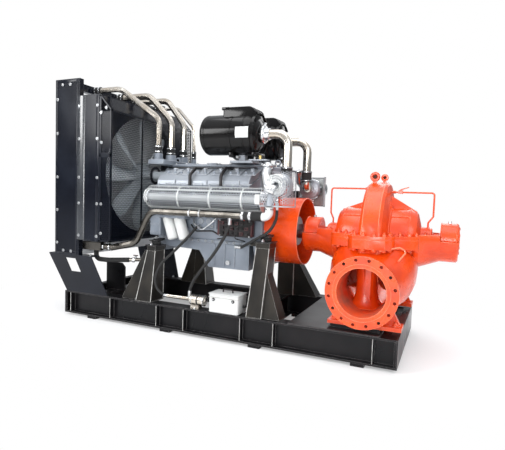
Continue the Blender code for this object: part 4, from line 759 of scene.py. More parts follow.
@dataclass
class Fasteners:
    """Hexagon heads or nuts with washers, set on points that each face their own way.

    Args:
        across: width of the hexagon.
        height: height of the head.
        washer: radius of the washer, or 0 for none.
        stud: how far the stud end stands out of the nut.
    """

    across: float = 0.024
    height: float = 0.013
    washer: float = 0.016
    stud: float = 0.0
    tree: GeometryTree = field(init=False)

    def __post_init__(self) -> None:
        """Build the tree that sets a fastener on each point."""
        self.tree = GeometryTree("fasteners")
        for name in ("Across", "Height", "Washer", "Stud"):
            self.tree.option(name)
        self.tree.option("Finish", "NodeSocketMaterial")
        out = self.tree.inputs.outputs
        head = self.solid(6, self.tree.math("DIVIDE", out["Across"], 1.732), out["Height"])
        plate = self.solid(16, out["Washer"], self.tree.math("MULTIPLY", out["Height"], 0.28))
        stud = self.solid(8, self.tree.math("MULTIPLY", out["Across"], 0.30),
                          self.tree.math("ADD", out["Height"], out["Stud"]))
        joined = self.tree.add("GeometryNodeJoinGeometry")
        for socket in (head, plate, stud):
            self.tree.tree.links.new(socket, joined.inputs[0])
        facing = self.tree.add("GeometryNodeInputNamedAttribute", {"Name": "facing"},
                               data_type="FLOAT_VECTOR")
        turn = self.tree.add("FunctionNodeAlignRotationToVector", {"Vector": facing.outputs[0]}, axis="Z")
        copies = self.tree.add("GeometryNodeInstanceOnPoints", {
            "Points": out["Geometry"], "Instance": joined.outputs[0], "Rotation": turn.outputs[0]})
        real = self.tree.add("GeometryNodeRealizeInstances", {"Geometry": copies.outputs[0]})
        dressed = self.tree.add("GeometryNodeSetMaterial",
                                {"Geometry": real.outputs[0], "Material": out["Finish"]})
        self.tree.tree.links.new(dressed.outputs[0], self.tree.outputs.inputs[0])

    def solid(self, sides: int, radius: bpy.types.NodeSocket,
              height: bpy.types.NodeSocket) -> bpy.types.NodeSocket:
        """Prism that stands on the point.

        Args:
            sides: facets round.
            radius: radius to its corners.
            height: its height.

        Returns:
            The prism's geometry.
        """
        made = self.tree.add("GeometryNodeMeshCylinder",
                             {"Vertices": sides, "Radius": radius, "Depth": height})
        lift = self.tree.add("ShaderNodeCombineXYZ", {"Z": self.tree.math("DIVIDE", height, 2.0)})
        return self.tree.add("GeometryNodeTransform", {
            "Geometry": made.outputs[0], "Translation": lift.outputs[0]}).outputs[0]

    def place(self, name: str, spots: Iterable[tuple[Point, Point]], finish: Finish,
              slot: str) -> bpy.types.Object:
        """Set fasteners on spots.

        Args:
            name: name of the piece that holds them all.
            spots: pairs of place and facing direction.
            finish: what they are dressed in.
            slot: the record's material slot; not used.

        Returns:
            The piece.
        """
        spots = list(spots)
        start = bpy.data.meshes.new(name + "_points")
        start.from_pydata([tuple(point) for point, _ in spots], [], [])
        facing = start.attributes.new("facing", "FLOAT_VECTOR", "POINT")
        for index, (_, direction) in enumerate(spots):
            facing.data[index].vector = Vector(direction).normalized()
        values = {"Across": self.across, "Height": self.height, "Washer": self.washer, "Stud": self.stud,
                  "Finish": finish.material()}
        mesh = self.tree.run(start, values, name)
        mesh.transform(TO_ROW)
        return settle(bpy.data.objects.new(name, mesh), Body.FRAME)


class Perforations:
    """Punched sheet with staggered holes, flat or rolled about its length."""

    def __init__(self) -> None:
        """Build the tree that punches and rolls a sheet."""
        tree = GeometryTree("perforated_sheet")
        for name in ("Length", "Width", "Pitch", "Open", "Roll", "Thickness"):
            tree.option(name)
        tree.option("Finish", "NodeSocketMaterial")
        self.tree = tree
        out = tree.inputs.outputs
        row = tree.math("MULTIPLY", out["Pitch"], math.sqrt(3) / 2)
        columns = tree.math("ADD", tree.math("ROUND", tree.math("DIVIDE", out["Length"], out["Pitch"])), 1.0)
        rows = tree.math("ADD", tree.math("ROUND", tree.math("DIVIDE", out["Width"], row)), 1.0)
        grid = tree.add("GeometryNodeMeshGrid", {
            "Size X": out["Length"], "Size Y": out["Width"], "Vertices X": columns, "Vertices Y": rows})
        place = tree.add("ShaderNodeSeparateXYZ", {0: tree.add("GeometryNodeInputPosition").outputs[0]})
        step = tree.math("DIVIDE", out["Width"], tree.math("SUBTRACT", rows, 1.0))
        number = tree.math("ROUND", tree.math("DIVIDE", tree.math(
            "ADD", place.outputs["Y"], tree.math("DIVIDE", out["Width"], 2.0)), step))
        odd = tree.math("MODULO", number, 2.0)
        shift = tree.add("ShaderNodeCombineXYZ", {
            "X": tree.math("MULTIPLY", odd, tree.math("DIVIDE", out["Pitch"], 2.0))})
        staggered = tree.add("GeometryNodeSetPosition",
                             {"Geometry": grid.outputs[0], "Offset": shift.outputs[0]})
        triangles = tree.add("GeometryNodeTriangulate", {"Mesh": staggered.outputs[0]})
        cells = tree.add("GeometryNodeDualMesh", {"Mesh": triangles.outputs[0]})
        inner = tree.add("GeometryNodeExtrudeMesh", {
            "Mesh": cells.outputs[0], "Offset Scale": 0.0, "Individual": True}, mode="FACES")
        shrunk = tree.add("GeometryNodeScaleElements", {
            "Geometry": inner.outputs["Mesh"], "Selection": inner.outputs["Top"], "Scale": out["Open"]})
        punched = tree.add("GeometryNodeDeleteGeometry", {
            "Geometry": shrunk.outputs[0], "Selection": inner.outputs["Top"]}, domain="FACE")
        back = tree.add("GeometryNodeExtrudeMesh", {
            "Mesh": punched.outputs[0], "Offset Scale": out["Thickness"], "Individual": False}, mode="FACES")
        flipped = tree.add("GeometryNodeFlipFaces", {"Mesh": punched.outputs[0]})
        joined = tree.add("GeometryNodeJoinGeometry")
        for socket in (back.outputs["Mesh"], flipped.outputs[0]):
            tree.tree.links.new(socket, joined.inputs[0])
        closed = tree.add("GeometryNodeMergeByDistance", {"Geometry": joined.outputs[0], "Distance": 1e-5})
        thick = tree.add("FunctionNodeCompare", {0: out["Thickness"], 1: 0.0}, data_type="FLOAT",
                         operation="GREATER_THAN")
        sheet = tree.add("GeometryNodeSwitch", {"Switch": thick.outputs[0], "False": punched.outputs[0],
                                                "True": closed.outputs[0]}, input_type="GEOMETRY")
        rolled = self.rolled(sheet.outputs[0])
        dressed = tree.add("GeometryNodeSetMaterial", {"Geometry": rolled, "Material": out["Finish"]})
        tree.tree.links.new(dressed.outputs[0], tree.outputs.inputs[0])

    def rolled(self, sheet: bpy.types.NodeSocket) -> bpy.types.NodeSocket:
        """Sheet rolled about its length when the roll radius is above zero.

        Args:
            sheet: the flat sheet.

        Returns:
            The rolled or flat sheet.
        """
        tree = self.tree
        out = tree.inputs.outputs
        place = tree.add("ShaderNodeSeparateXYZ", {0: tree.add("GeometryNodeInputPosition").outputs[0]})
        radius = tree.math("ADD", out["Roll"], place.outputs["Z"])
        angle = tree.math("DIVIDE", place.outputs["Y"], tree.math("MAXIMUM", out["Roll"], 1e-4))
        spot = tree.add("ShaderNodeCombineXYZ", {
            "X": place.outputs["X"],
            "Y": tree.math("MULTIPLY", radius, tree.math("SINE", angle)),
            "Z": tree.math("MULTIPLY", radius, tree.math("COSINE", angle))})
        bend = tree.add("FunctionNodeCompare", {0: out["Roll"], 1: 0.0}, data_type="FLOAT",
                        operation="GREATER_THAN")
        return tree.add("GeometryNodeSetPosition", {
            "Geometry": sheet, "Selection": bend.outputs[0], "Position": spot.outputs[0]}).outputs[0]

    def place(self, name: str, size: tuple[float, float], pitch: float, middle: Point, along: Point,
              out: Point,
              finish: Finish, slot: str, share: float = 0.66, roll: float = 0.0, thickness: float = 0.0,
              keep: Callable[[Vector], bool] | None = None) -> bpy.types.Object:
        """Set a punched sheet in the scene.

        Args:
            name: name of the piece.
            size: length and width of the flat sheet.
            pitch: distance between holes.
            middle: centre of the sheet, or of the roll's axis.
            along: direction of its length.
            out: direction that its middle faces.
            finish: what it is dressed in.
            slot: the record's material slot; not used.
            share: size of a hole against its cell.
            roll: radius that it is rolled to, or 0 for flat.
            thickness: thickness of the sheet, or 0 for a single skin.
            keep: rule that says whether the sheet stays at a place, or None for all of it.

        Returns:
            The piece.
        """
        start = bpy.data.meshes.new(name + "_start")
        values = {"Length": size[0], "Width": size[1], "Pitch": pitch, "Open": share, "Roll": roll,
                  "Thickness": thickness, "Finish": finish.material()}
        mesh = self.tree.run(start, values, name)
        first, third = Vector(along).normalized(), Vector(out).normalized()
        turn = Matrix((first, third.cross(first), third)).transposed().to_4x4()
        mesh.transform(Matrix.Translation(Vector(middle)) @ turn)
        if keep is not None:
            shape = bmesh.new()
            shape.from_mesh(mesh)
            gone = [face for face in shape.faces if not keep(face.calc_center_median())]
            bmesh.ops.delete(shape, geom=gone, context="FACES")
            shape.to_mesh(mesh)
            shape.free()
        mesh.transform(TO_ROW)
        return settle(bpy.data.objects.new(name, mesh), Body.FRAME)


@dataclass
class PhotoCamera:
    """Camera that stands where the photograph was taken from."""

    place: tuple[float, float, float] = (0.550, -3.840, 1.215)
    right: tuple[float, float, float] = (0.9133, 0.4064, 0.0329)
    down: tuple[float, float, float] = (0.0558, -0.0448, -0.9974)
    focal_mm: float = 31.96
    sensor_mm: float = 36.0

    def build(self) -> None:
        """Create the camera and make it the scene's own."""
        data = bpy.data.cameras.new("photo_camera")
        data.lens = self.focal_mm
        data.sensor_width = self.sensor_mm
        camera = bpy.data.objects.new("photo_camera", data)
        bpy.context.scene.collection.objects.link(camera)
        right = Vector(self.right).normalized()
        up = -Vector(self.down)
        up = (up - right * up.dot(right)).normalized()
        turn = Matrix((right, up, right.cross(up))).transposed().to_4x4()
        camera.matrix_world = Matrix.Translation(plant(*self.place)) @ turn
        bpy.context.scene.camera = camera


@dataclass
class Studio:
    """Pale floor, white surroundings and large soft lamps."""

    floor_size: float = 60.0
    world_strength: float = 1.00
    horizon_strength: float = 0.13
    # Glow of the floor under the set; keeping it low there is painted shade.
    floor_glow: float = 0.30
    footprint: tuple[float, float] = (2.0, 0.85)

    def build(self) -> None:
        """Create the floor, the world and the lamps."""
        bpy.context.scene.view_settings.view_transform = "Standard"
        self.floor()
        self.world()
        middle = plant(-1.2, 0, 1.0)
        for name, offset, size, power in (
                ("lamp_overhead", (0.3, -0.8, 4.2), 4.0, 110.0),
                ("lamp_front_left", (-3.4, -4.4, 2.2), 2.2, 150.0),
                ("lamp_front", (1.0, -5.6, 0.7), 1.6, 130.0),
                ("lamp_front_right", (4.6, -3.4, 2.6), 2.4, 80.0),
                ("lamp_behind", (0.5, 4.8, 3.0), 3.5, 90.0)):
            self.lamp(name, middle + Vector(offset), middle, size, power)

    def floor(self) -> None:
        """Pale floor that stays white for the camera away from the set; in an oval under the set its glow is
        turned down, which is painted shade, so that the floor's soft shadow shows there.
        """
        mesh = bpy.data.meshes.new("studio_floor")
        half = self.floor_size / 2
        mesh.from_pydata([(-half, -half, 0), (half, -half, 0), (half, half, 0), (-half, half, 0)], [],
                         [(0, 1, 2, 3)])
        floor = bpy.data.objects.new("studio_floor", mesh)
        bpy.context.scene.collection.objects.link(floor)
        material = bpy.data.materials.new("studio_floor_white")
        material.use_nodes = True
        tree = material.node_tree
        shader = tree.nodes["Principled BSDF"]
        shader.inputs["Base Color"].default_value = (0.88, 0.88, 0.88, 1)
        shader.inputs["Roughness"].default_value = 0.9
        glow = add_node(tree, "ShaderNodeEmission")
        path = add_node(tree, "ShaderNodeLightPath")
        place = add_node(tree, "ShaderNodeTexCoord")
        # Oval round the set where the floor's glow is turned down: painted shade under the set.
        squeeze = add_node(tree, "ShaderNodeMapping", {
            "Vector": place.outputs["Object"], "Scale": (1 / self.footprint[0], 1 / self.footprint[1], 1)})
        reach = add_node(tree, "ShaderNodeVectorMath", {0: squeeze.outputs["Vector"]}, operation="LENGTH")
        glow_with_painted_shade = add_node(tree, "ShaderNodeMapRange", {
            "Value": reach.outputs["Value"], "From Min": 0.9, "From Max": 1.6, "To Min": self.floor_glow,
            "To Max": 1.0})
        share = add_node(tree, "ShaderNodeMath", {
            0: path.outputs["Is Camera Ray"], 1: glow_with_painted_shade.outputs["Result"]}, operation="MULTIPLY")
        mix = add_node(tree, "ShaderNodeMixShader", {
            0: share.outputs[0], 1: shader.outputs[0], 2: glow.outputs[0]})
        tree.links.new(mix.outputs[0], tree.nodes["Material Output"].inputs["Surface"])
        mesh.materials.append(material)

    def world(self) -> None:
        """White surroundings for the camera and for reflections, softer light on the object."""
        world = bpy.data.worlds.new("studio_world")
        bpy.context.scene.world = world
        world.use_nodes = True
        tree = world.node_tree
        soft = tree.nodes["Background"]
        soft.inputs["Color"].default_value = (0.94, 0.96, 1.0, 1)
        place = add_node(tree, "ShaderNodeTexCoord")
        height = add_node(tree, "ShaderNodeSeparateXYZ", {0: place.outputs["Generated"]})
        rise = add_node(tree, "ShaderNodeMapRange", {
            "Value": height.outputs["Z"], "From Min": -0.05, "From Max": 0.75,
            "To Min": self.horizon_strength, "To Max": self.world_strength})
        tree.links.new(rise.outputs["Result"], soft.inputs["Strength"])
        white = add_node(tree, "ShaderNodeBackground", {"Color": (1, 1, 1, 1)})
        path = add_node(tree, "ShaderNodeLightPath")
        mix = add_node(tree, "ShaderNodeMixShader", {
            0: path.outputs["Is Camera Ray"], 1: soft.outputs[0], 2: white.outputs[0]})
        tree.links.new(mix.outputs[0], tree.nodes["World Output"].inputs["Surface"])

    def lamp(self, name: str, place: Vector, target: Vector, size: float, power: float) -> None:
        """Square area lamp that faces a point.

        Args:
            name: name of the lamp.
            place: where it hangs.
            target: point that it faces.
            size: length of its side.
            power: its power in watts.
        """
        data = bpy.data.lights.new(name, "AREA")
        data.size = size
        data.energy = power
        lamp = bpy.data.objects.new(name, data)
        bpy.context.scene.collection.objects.link(lamp)
        lamp.location = place
        lamp.rotation_euler = (target - place).to_track_quat("-Z", "Y").to_euler()


@dataclass(frozen=True)
class Dress:
    """How one construction node is shown.

    Args:
        finish: what it is dressed in.
        edge: bevel width of its sharp edges, or 0 for none.
        remake: whether a merged, smooth copy stands for it.
    """

    finish: Finish
    edge: float = 0.0
    remake: bool = False


class NodeDresser:
    """Dresses the construction nodes, each by the longest name that it starts with."""

    WARDROBE: dict[str, Dress] = {
        "skid_": Dress(Palette.SKID),
        "cross_beam": Dress(Palette.SKID),
        "pump_deck_plate": Dress(Palette.SKID),
        "engine_leg": Dress(Palette.LEG),
        "radiator_": Dress(Palette.RADIATOR),
        # The core's alloy colour is partly painted light.
        "radiator_core": Dress(Palette.CORE_PAINTED_LIGHT),
        "fan_shroud": Dress(Palette.RADIATOR, remake=True),
        "fan": Dress(Palette.FAN, remake=True),
        "crankcase": Dress(Palette.ENGINE),
        "oil_pan": Dress(Palette.ENGINE, 0.012, True),
        "gear_cover": Dress(Palette.ENGINE, 0.006, True),
        "flywheel_housing": Dress(Palette.ENGINE, 0.006, True),
        "intake_manifold": Dress(Palette.ENGINE, 0.004, True),
        "valve_cover": Dress(Palette.COVER, 0.006, True),
        "filter_bracket": Dress(Palette.COVER, 0.004, True),
        "coolant_pipe": Dress(Palette.PIPE, remake=True),
        "lower_coolant_pipe": Dress(Palette.LOW_PIPE, remake=True),
        "intake_pipe": Dress(Palette.PIPE, remake=True),
        "engine_controller": Dress(Palette.CONTROL),
        "battery_box": Dress(Palette.WHITE),
        "coolant_heater": Dress(Palette.PIPE, remake=True),
        "pump_": Dress(Palette.PUMP, 0.006, True),
        "pump_shaft": Dress(Palette.SHAFT, 0.002, True),
        "bearing_": Dress(Palette.PUMP, 0.005, True),
        "coupling": Dress(Palette.SHAFT, 0.003, True),
        "coupling_guard": Dress(Palette.PUMP, 0.002, True),
        "seal_pipe": Dress(Palette.PUMP, remake=True),
    }

    def __init__(self, handled: Iterable[str]) -> None:
        """Remember which nodes other classes stand for.

        Args:
            handled: names of those nodes.
        """
        self.handled = set(handled)

    def build(self) -> None:
        """Dress every node that nothing else stands for."""
        bodies = frame["record"]["behaviour"]["bodies"]
        owner = {node: Body(body) for body, nodes in bodies.items() for node in nodes}
        slots = {part["node"]: part["material_slot"] for part in frame["record"]["subparts"]}
        for name, node in frame["nodes"].items():
            if name in self.handled:
                continue
            dress = self.WARDROBE[max((key for key in self.WARDROBE if name.startswith(key)), key=len)]
            node.data.materials.clear()
            node.data.materials.append(dress.finish.material())
            if dress.remake:
                self.remake(name, node, dress, owner[name], slots[name])

    def remake(self, name: str, node: bpy.types.Object, dress: Dress, body: Body, slot: str) -> None:
        """Stand a merged, smooth copy in for a node.

        Args:
            name: the node's name.
            node: the node's object.
            dress: how it is shown.
            body: body that it moves with.
            slot: the record's material slot; not used.
        """
        shape = bmesh.new()
        shape.from_mesh(node.data)
        bmesh.ops.remove_doubles(shape, verts=shape.verts, dist=2e-5)
        bmesh.ops.dissolve_limit(shape, angle_limit=math.radians(0.6), verts=shape.verts, edges=shape.edges)
        mesh = bpy.data.meshes.new(name + "_shell")
        shape.to_mesh(mesh)
        shape.free()
        mesh.materials.clear()
        mesh.materials.append(dress.finish.material())
        mesh.shade_smooth()
        mesh.set_sharp_from_angle(angle=math.radians(35))
        piece = bpy.data.objects.new(name + "_shell", mesh)
        if dress.edge:
            bevel = piece.modifiers.new("edge", "BEVEL")
            bevel.width = dress.edge
            bevel.segments = 2
            bevel.limit_method = "ANGLE"
            bevel.angle_limit = math.radians(38)
        settle(piece, body, (name,))


@dataclass
class Hoses:
    """Rubber hoses that run loose between two fittings, on the construction's own routes."""

    spacing: float = 1.2
    ferrule_length: float = 0.034
    routes: dict[str, tuple[float, tuple[Point, ...]]] = field(default_factory=lambda: {
        "hose_heater_feed": (0.013, (
            (-1.112, -0.550, 1.0077), (-1.112, -0.550, 0.982), (-1.140, -0.542, 0.915),
            (-1.186, -0.532, 0.835),
            (-1.274, -0.530, 0.705), (-1.366, -0.535, 0.590), (-1.448, -0.545, 0.470),
            (-1.479, -0.550, 0.385), (-1.479, -0.550, 0.3503))),
        "hose_heater_return": (0.012, (
            (-1.512, -0.3753, 0.926), (-1.512, -0.402, 0.926), (-1.555, -0.475, 0.840),
            (-1.662, -0.510, 0.719),
            (-1.778, -0.535, 0.600), (-1.838, -0.550, 0.475), (-1.815, -0.555, 0.370),
            (-1.742, -0.550, 0.315), (-1.7103, -0.550, 0.315))),
        "hose_oil_drain": (0.012, (
            (-0.719, -0.500, 1.1447), (-0.719, -0.500, 1.112), (-0.723, -0.508, 1.034),
            (-0.775, -0.515, 0.940),
            (-0.882, -0.492, 0.876), (-1.000, -0.425, 0.815), (-1.086, -0.375, 0.775),
            (-1.115, -0.375, 0.775))),
    })

    def build(self) -> set[str]:
        """Make every hose with its crimped ends.

        Returns:
            Names of the construction nodes that the hoses stand for.
        """
        ends = Form("hose_ferrules")
        for name, (radius, points) in self.routes.items():
            route = smooth_route(points, self.spacing * 2 * radius)
            hose = Form(name + "_rubber").tube(route, radius, Palette.RUBBER, 14).done("rubber_black",
                                                                                       replaces=(name,))
            for first, second in ((route[0], route[1]), (route[-1], route[-2])):
                self.ferrule(ends, first, (second - first).normalized(), radius)
        ends.done("shaft_steel")
        return set(self.routes)

    def ferrule(self, ends: Form, mouth: Vector, inward: Vector, radius: float) -> None:
        """Crimped sleeve and hexagon nut at one end of a hose.

        Args:
            ends: form that takes them.
            mouth: middle of the hose's end.
            inward: direction from the mouth into the hose.
            radius: radius of the hose.
        """
        wall = radius * 0.16
        ends.lathe([(-0.010, radius + wall), (self.ferrule_length - 0.006, radius + wall),
                    (self.ferrule_length, radius + 0.0002), (self.ferrule_length, radius - 0.001),
                    (-0.010, radius - 0.001), (-0.010, radius + wall)], mouth, inward, Palette.ZINC, 18)
        ends.lathe([(-0.026, radius * 1.35), (-0.010, radius * 1.35)], mouth, inward, Palette.ZINC, 6)


@dataclass
class RadiatorEnd:
    """Radiator, shroud and punched fan guard, with their rolled flanges and bolts."""

    half_width: float = 0.67
    low: float = 0.756
    shoulder: float = 1.945
    top: float = 2.091
    guard_left: float = -2.3917
    guard_right: float = -2.257
    wall: float = 0.003
    frame_width: float = 0.016
    fan_height: float = 1.395
    pitch: float = 0.020

    def build(self) -> set[str]:
        """Make the guard, the flanges and the bolts.

        Returns:
            Names of the construction nodes that they stand for.
        """
        self.guard_frame()
        self.guard_sheets()
        self.flanges()
        self.core_fins()
        self.bolts()
        return {"fan_guard"}

    def guard_frame(self) -> None:
        """Folded edges of the guard and the collar round its shaft hole, which stand for the node."""
        form = Form("fan_guard_frame")
        half, wall, width = self.half_width, self.wall, self.frame_width
        left, right = self.guard_left, self.guard_right
        black = Palette.RADIATOR
        for side in BOTH:
            near, far = sorted((side * half, side * (half - width)))
            form.box((right - wall, near, self.low), (right, far, self.shoulder), black)
            near, far = sorted((side * half, side * (half - wall)))
            form.box((right - width, near, self.low), (right, far, self.shoulder), black)
            form.box((left, near, self.low), (left + width, far, self.top - 0.004), black)
            form.box((left, near, self.low), (right, far, self.low + width), black)
            form.box((left, near, 1.525), (right, far, 1.560), black)
            slope = [(left, near, self.top), (right, near, self.shoulder),
                     (right, near, self.shoulder - width), (left, near, self.top - width)]
            form.prism(slope, (0, far - near, 0), black)
        form.box((right - wall, -half, self.low), (right, half, self.low + width), black)
        form.box((left, -half, self.low), (right, half, self.low + wall), black)
        form.box((right - wall, -half, self.shoulder - width), (right, half, self.shoulder), black)
        for middle_y in (-half / 3, half / 3):
            form.box((right - 0.008, middle_y - 0.010, self.low),
                     (right - wall, middle_y + 0.010, self.shoulder), black)
        form.lathe([(0, 0.092), (wall * 2, 0.092), (wall * 2, 0.062), (0, 0.062), (0, 0.092)],
                   (right - wall * 2, 0, self.fan_height), (1, 0, 0), black, 36)
        form.done("radiator_black", replaces=("fan_guard",))

    def guard_sheets(self) -> None:
        """Punched sheets between the folded edges."""
        punch = Perforations()
        half, left, right = self.half_width, self.guard_left, self.guard_right
        height = self.shoulder - self.low
        middle_z = (self.shoulder + self.low) / 2
        width = right - left
        slope = Vector((width, 0, self.shoulder - self.top))
        finish, slot = Palette.RADIATOR, "radiator_black"

        def clear_of_shaft(place: Vector) -> bool:
            """Whether a place on the sheet is outside the shaft hole."""
            return math.hypot(place.y, place.z - self.fan_height) > 0.085

        punch.place("fan_guard_face", (2 * half - 0.02, height - 0.02), self.pitch,
                    (right - 0.0015, 0, middle_z),
                    (0, 1, 0), (1, 0, 0), finish, slot, 0.80, keep=clear_of_shaft)
        punch.place("fan_guard_slope", (2 * half - 0.02, slope.length - 0.004), self.pitch,
                    Vector((left, 0, self.top - 0.003)) + slope / 2, (0, 1, 0), (-slope.z, 0, slope.x),
                    finish, slot, 0.70)
        for name, side in SIDES:
            punch.place(f"fan_guard_cheek_{name}", (width - 0.02, height - 0.01), self.pitch,
                        ((left + right) / 2, side * (half - 0.0015), middle_z), (1, 0, 0), (0, side, 0),
                        finish, slot, 0.62)

    def flanges(self) -> None:
        """Rolled strips down the side of the radiator and the seams of its cover sheets."""
        form = Form("radiator_flanges")
        for _, side in SIDES:
            face = side * self.half_width
            turns = [math.radians(angle) for angle in range(0, 181, 15)]
            bulge = [(-2.6105 + 0.0485 * math.cos(t), face - side * 0.004 + side * 0.018 * math.sin(t), 0.762)
                     for t in turns]
            form.prism(bulge, (0, 0, 1.320), Palette.STRIP)
            for low_x, high_x, low_z, high_z in ((-2.672, -2.655, 0.615, 2.235),
                                                 (-2.430, -2.396, 0.760, 2.085),
                                                 (-2.925, -2.905, 0.615, 2.240)):
                near, far = sorted((face - side * 0.006, face + side * 0.0045))
                form.box((low_x, near, low_z), (high_x, far, high_z), Palette.RADIATOR, 0.004)
            for low_z, high_z in ((0.615, 0.640), (2.215, 2.240)):
                near, far = sorted((face - side * 0.006, face + side * 0.003))
                form.box((-2.905, near, low_z), (-2.659, far, high_z), Palette.RADIATOR, 0.0025)
        for low_z in (0.640, 2.010):
            form.box((-2.9305, -0.60, low_z), (-2.918, 0.60, low_z + 0.060), Palette.RADIATOR, 0.004)
        form.rod((-2.77, -0.30, 2.225), (-2.77, -0.30, 2.238), 0.045, Palette.RADIATOR, 24, 0.003)
        form.done("radiator_black")

    def core_fins(self) -> None:
        """Fins and tubes of the core, seen from its outer side."""
        form = Form("radiator_fins")
        # Fins and tubes in the core's alloy colour, which is raised as painted light.
        count = 110
        low, high = 0.700, 2.000
        for number in range(count):
            height = low + (high - low) * (number + 0.5) / count
            form.box((-2.9225, -0.628, height - 0.0012), (-2.9020, 0.628, height + 0.0012), Palette.CORE_PAINTED_LIGHT)
        for number in range(27):
            place_y = -0.624 + 1.248 * number / 26
            form.box((-2.9185, place_y - 0.004, low), (-2.9020, place_y + 0.004, high), Palette.CORE_PAINTED_LIGHT)
        form.done("core_grey")

    def bolts(self) -> None:
        """Bolt heads in the places that the photo shows, on both sides."""
        columns = {-2.900: (2.063, 1.750, 1.339, 1.029, 0.716), -2.620: (1.989, 1.692, 1.339, 1.101, 0.802),
                   -2.413: (1.989, 1.692, 1.339, 1.101, 0.802), -2.364: (1.655, 1.101, 0.833)}
        extra = ((-2.838, 2.197), (-2.744, 2.196), (-2.819, 0.644), (-2.723, 0.642), (-2.370, 1.922),
                 (-2.313, 1.964))
        spots = []
        for _, side in SIDES:
            places = [(x, z) for x, heights in columns.items() for z in heights] + list(extra)
            spots += [((x, side * (self.half_width + (0.013 if x == -2.620 else 0.003)), z), (0, side, 0))
                      for x, z in places]
            spots += [((x, side * 0.62, 0.611), (0, 0, 1)) for x in (-2.965, -2.53)]
        Fasteners(0.019, 0.009, 0.014).place("radiator_bolts", spots, Palette.ZINC, "shaft_steel")


@dataclass
class ExhaustShields:
    """Rolled punched sheets round the exhaust manifolds, with pale bands and a pale bar inside."""

    left: float = -1.970
    right: float = -0.8523
    height: float = 1.185
    radius: float = 0.100
    inner: float = 0.062
    axis_y: float = 0.4503
    pitch: float = 0.0245
    straps: tuple[float, ...] = (-1.633, -1.321, -1.020)

    def build(self) -> set[str]:
        """Make both shields.

        Returns:
            Names of the construction nodes that they stand for.
        """
        punch = Perforations()
        length = self.right - self.left
        for name, side in SIDES:
            middle = ((self.left + self.right) / 2, side * self.axis_y, self.height)
            punch.place(f"exhaust_shield_sheet_{name}", (length - 0.012, math.pi * (self.radius - 0.002)),
                        self.pitch, middle,
                        (1, 0, 0), (0, side, 0), Palette.SHIELD, "shield_steel", roll=self.radius - 0.002,
                        share=0.74)
            self.trim(name, side)
        return {"exhaust_shield_front", "exhaust_shield_rear"}

    def half_ring(self, place_x: float, width: float, outer: float, inner: float, side: int,
                  form: Form) -> None:
        """Add a half ring that stands out from the cylinder bank.

        Args:
            place_x: its left edge.
            width: its width along X.
            outer: its outer radius.
            inner: its inner radius, or 0 for a closed end plate.
            side: -1 for the front bank, 1 for the rear one.
            form: form that takes it.
        """
        turns = [math.radians(angle) for angle in range(-90, 91, 9)]
        rim = [(place_x, side * (self.axis_y + outer * math.cos(t)),
                self.height + outer * math.sin(t)) for t in turns]
        back = [(place_x, side * (self.axis_y + inner * math.cos(t)), self.height + inner * math.sin(t))
                for t in turns[::-1]] if inner else []
        form.prism(rim + back, (width, 0, 0), Palette.PALE_CAST)

    def trim(self, name: str, side: int) -> None:
        """Straps, long bands, end plates, the pale inner bar and the dark backing of one shield; the backing
        is a dark sheet of painted shade behind the holes.

        Args:
            name: name of its bank.
            side: -1 for the front bank, 1 for the rear one.
        """
        form = Form(f"exhaust_shield_trim_{name}")
        near, far = sorted((side * (self.axis_y + 0.001), side * (self.axis_y + 0.003)))
        low, high = self.height - self.radius + 0.002, self.height + self.radius - 0.002
        # Dark sheet behind the punched sheet: painted shade where the engine behind lies in shadow.
        form.box((self.left, near, low), (self.right, far, high), Palette.PAINTED_SHADE_BACKING)
        form.rod((self.left + 0.006, side * (self.axis_y + 0.038), self.height),
                 (self.right - 0.006, side * (self.axis_y + 0.038), self.height), self.inner * 0.50,
                 Palette.PALE_CAST, 28)
        for number in range(6):
            place_x = -1.84 + 0.16 * number
            form.rod((place_x, side * (self.axis_y + 0.002), self.height + 0.02),
                     (place_x, side * (self.axis_y + 0.055), self.height + 0.005), 0.030, Palette.COVER, 18)
        for place_x in (self.left, self.right - 0.004):
            self.half_ring(place_x, 0.004, self.radius, 0.0, side, form)
        for place_x in self.straps:
            self.half_ring(place_x - 0.007, 0.014, self.radius + 0.0015, self.radius - 0.002, side, form)
        for angle in (-78, -60, 42, 78):
            turn = math.radians(angle)
            out, up = math.cos(turn), math.sin(turn)
            reach = self.radius - 0.0025
            width = 0.011 if abs(angle) == 78 else 0.005
            corners = [Vector((self.left, side * (self.axis_y + reach * out - step * up),
                               self.height + reach * up + step * out)) for step in (-width, width)]
            lift = Vector((0, side * out, up)) * 0.0035
            form.prism([corners[0], corners[1], corners[1] + lift, corners[0] + lift],
                       (self.right - self.left, 0, 0), Palette.PALE_CAST)
        form.lathe([(0, 0.040), (0.012, 0.062), (0.030, 0.066), (0.048, 0.066), (0.055, 0.060), (0.055, 0.0)],
                   (self.left - 0.040, side * (self.axis_y + 0.030), self.height), (1, 0, 0), Palette.BRIGHT,
                   32)
        form.torus((self.left - 0.012, side * (self.axis_y + 0.030), self.height), (1, 0, 0), 0.068, 0.006,
                   Palette.BRIGHT, 32)
        form.box((-0.896, min(side * 0.540, side * 0.553), 1.152),
                 (-0.852, max(side * 0.540, side * 0.553), 1.232), Palette.WHITE, 0.004)
        form.done("shield_steel", replaces=(f"exhaust_shield_{name}",))


